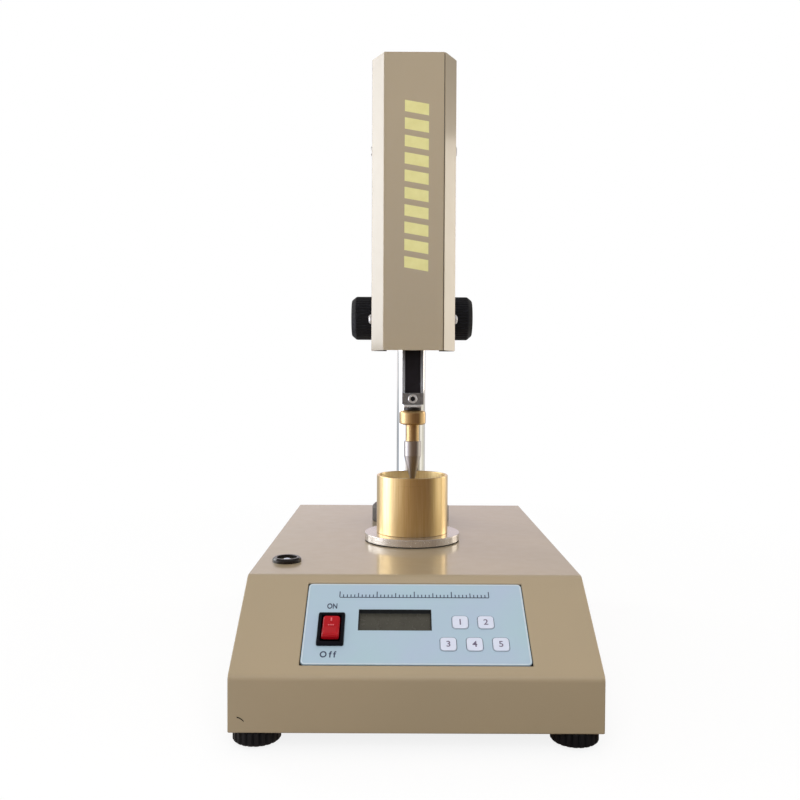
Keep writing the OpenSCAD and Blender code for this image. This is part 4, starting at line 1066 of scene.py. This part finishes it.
# Surroundings seen only in reflections: bright at the left, dark in front, grey at the back.
# Each row is an angle from the front, minus to the left, a colour near the floor and one above it.
SURROUND = [
    (-180, (0.8, 0.8, 0.8), (0.9, 0.8, 0.84)), (-150, (0.42, 0.43, 0.45), (0.95, 0.92, 0.92)),
    (-128, (0.62, 0.65, 0.7), (0.85, 0.88, 0.92)), (-112, (0.7, 0.75, 0.82), (1.0, 1.02, 1.04)),
    (-104, (4.2, 4.2, 4.8), (4.2, 4.2, 4.2)), (-82, (4.2, 4.2, 5.0), (4.2, 4.2, 4.2)),
    (-72, (2.15, 2.35, 3.0), (2.4, 2.35, 2.3)), (-62, (1.5, 1.58, 1.9), (1.6, 1.52, 1.45)),
    (-46, (1.1, 1.02, 0.98), (0.95, 0.86, 0.78)), (-22, (0.55, 0.43, 0.34), (0.45, 0.35, 0.29)),
    (0, (0.26, 0.165, 0.1), (0.24, 0.165, 0.12)), (26, (0.19, 0.11, 0.065), (0.18, 0.12, 0.09)),
    (55, (0.17, 0.105, 0.085), (0.17, 0.115, 0.09)), (68, (0.38, 0.34, 0.27), (0.4, 0.36, 0.31)),
    (80, (0.7, 0.64, 0.5), (0.76, 0.7, 0.62)), (92, (1.3, 1.25, 1.15), (1.05, 1.0, 0.9)),
    (104, (1.0, 0.95, 0.8), (1.0, 0.95, 0.86)), (120, (0.8, 0.76, 0.66), (0.95, 0.89, 0.78)),
    (140, (0.8, 0.77, 0.73), (0.5, 0.46, 0.42)), (160, (0.6, 0.58, 0.57), (0.76, 0.69, 0.71)),
    (180, (0.8, 0.8, 0.8), (0.9, 0.8, 0.84)),
]
SURROUND_PEAK = 5.0
CEILING = (0.45, 0.43, 0.41)
# Heights in metres between which the lower colour gives way to the upper, and that to the ceiling
SURROUND_RISE, CEILING_RISE = (0.06, 0.2), (0.75, 1.15)
WRAP_LOW, WRAP_R, WRAP_WALL, WRAP_TOP = 2, 1800, 1700, 1900
surroundings, tree = bare_material("surroundings")
place = add_node(tree, "SeparateXYZ", {0: add_node(tree, "TexCoord").outputs["Object"]}).outputs
front = add_node(tree, "Math", {0: place["Y"], 1: -1.0}, operation="MULTIPLY").outputs[0]
bearing = add_node(tree, "Math", {0: place["X"], 1: front}, operation="ARCTAN2").outputs[0]
turn = add_node(tree, "MapRange", {"Value": bearing, "From Min": -math.pi, "From Max": math.pi})


def faint(colour):
    """Colour as a share of the brightest, since a ramp holds none over 1."""
    return [value / SURROUND_PEAK for value in colour] + [1]


def bands(column):
    """Colour ramp round the surroundings, from one column of the list."""
    made = add_node(tree, "ValToRGB", {0: turn.outputs["Result"]})
    stops = made.color_ramp.elements
    while len(stops) < len(SURROUND):
        stops.new(1.0)
    for stop, row in zip(stops, SURROUND):
        stop.position = (row[0] + 180) / 360
        stop.color = faint(row[column])
    return made.outputs["Color"]


def by_height(rise, lower, upper):
    """Colour that goes from lower to upper between two heights."""
    share = add_node(tree, "MapRange", {
        "Value": place["Z"], "From Min": rise[0], "From Max": rise[1],
    }).outputs["Result"]
    return add_node(tree, "Mix", {0: share, 6: lower, 7: upper}, data_type="RGBA").outputs[2]


around = by_height(SURROUND_RISE, bands(1), bands(2))
tint = by_height(CEILING_RISE, around, faint(CEILING))
set_surface(tree, add_node(tree, "Emission", {"Color": tint, "Strength": SURROUND_PEAK}).outputs[0])
walls = revolved([(WRAP_R, WRAP_LOW), (WRAP_R, WRAP_WALL), (0, WRAP_TOP)])
wrap = [stage_piece("surroundings", walls, surroundings)]

# Cards of the same surroundings just over the floor: first and last angle, distance they start at
FLOOR_CARDS = {
    "front_floor": (-62, 180, 60), "left_floor": (-104, -62, 480), "back_floor": (-180, -104, 480),
}
CARD_STEPS = 32
for name, (first, last, near) in FLOOR_CARDS.items():
    turns = [math.radians(first + (last - first) * k / CARD_STEPS) for k in range(CARD_STEPS + 1)]
    rows = [(r * math.sin(a), -r * math.cos(a), WRAP_LOW) for r in (near, WRAP_R) for a in turns]
    faces = [(k, k + 1, CARD_STEPS + 2 + k, CARD_STEPS + 1 + k) for k in range(CARD_STEPS)]
    wrap.append(stage_piece(name, (rows, faces), surroundings))
for ray in ("camera", "diffuse", "transmission", "volume_scatter", "shadow"):
    for card in wrap:
        setattr(card, f"visible_{ray}", False)

# Camera fitted to the photograph: image width and focal length in pixels, angles in radians
IMAGE, FOCAL = 800, 850
CAMERA = Vector((-10.4, -642.1, 210.3))
YAW, PITCH, ROLL = 0.0012, 0.0317, 0.0045
SENSOR = 36
forward = Vector((
    math.sin(YAW) * math.cos(PITCH), math.cos(YAW) * math.cos(PITCH), -math.sin(PITCH),
))
right = forward.cross(Vector((0, 0, 1))).normalized()
up = right.cross(forward)
right, up = (
    right * math.cos(ROLL) + up * math.sin(ROLL), up * math.cos(ROLL) - right * math.sin(ROLL),
)
lens = bpy.data.cameras.new("camera")
lens.sensor_width = SENSOR
lens.lens = SENSOR * FOCAL / IMAGE
lens.clip_start = 0.01
camera = bpy.data.objects.new("camera", lens)
camera.matrix_world = Matrix((right, up, -forward)).transposed().to_4x4()
camera.location = CAMERA * MM
scene.collection.objects.link(camera)
scene.camera = camera
scene.view_settings.view_transform = "Standard"
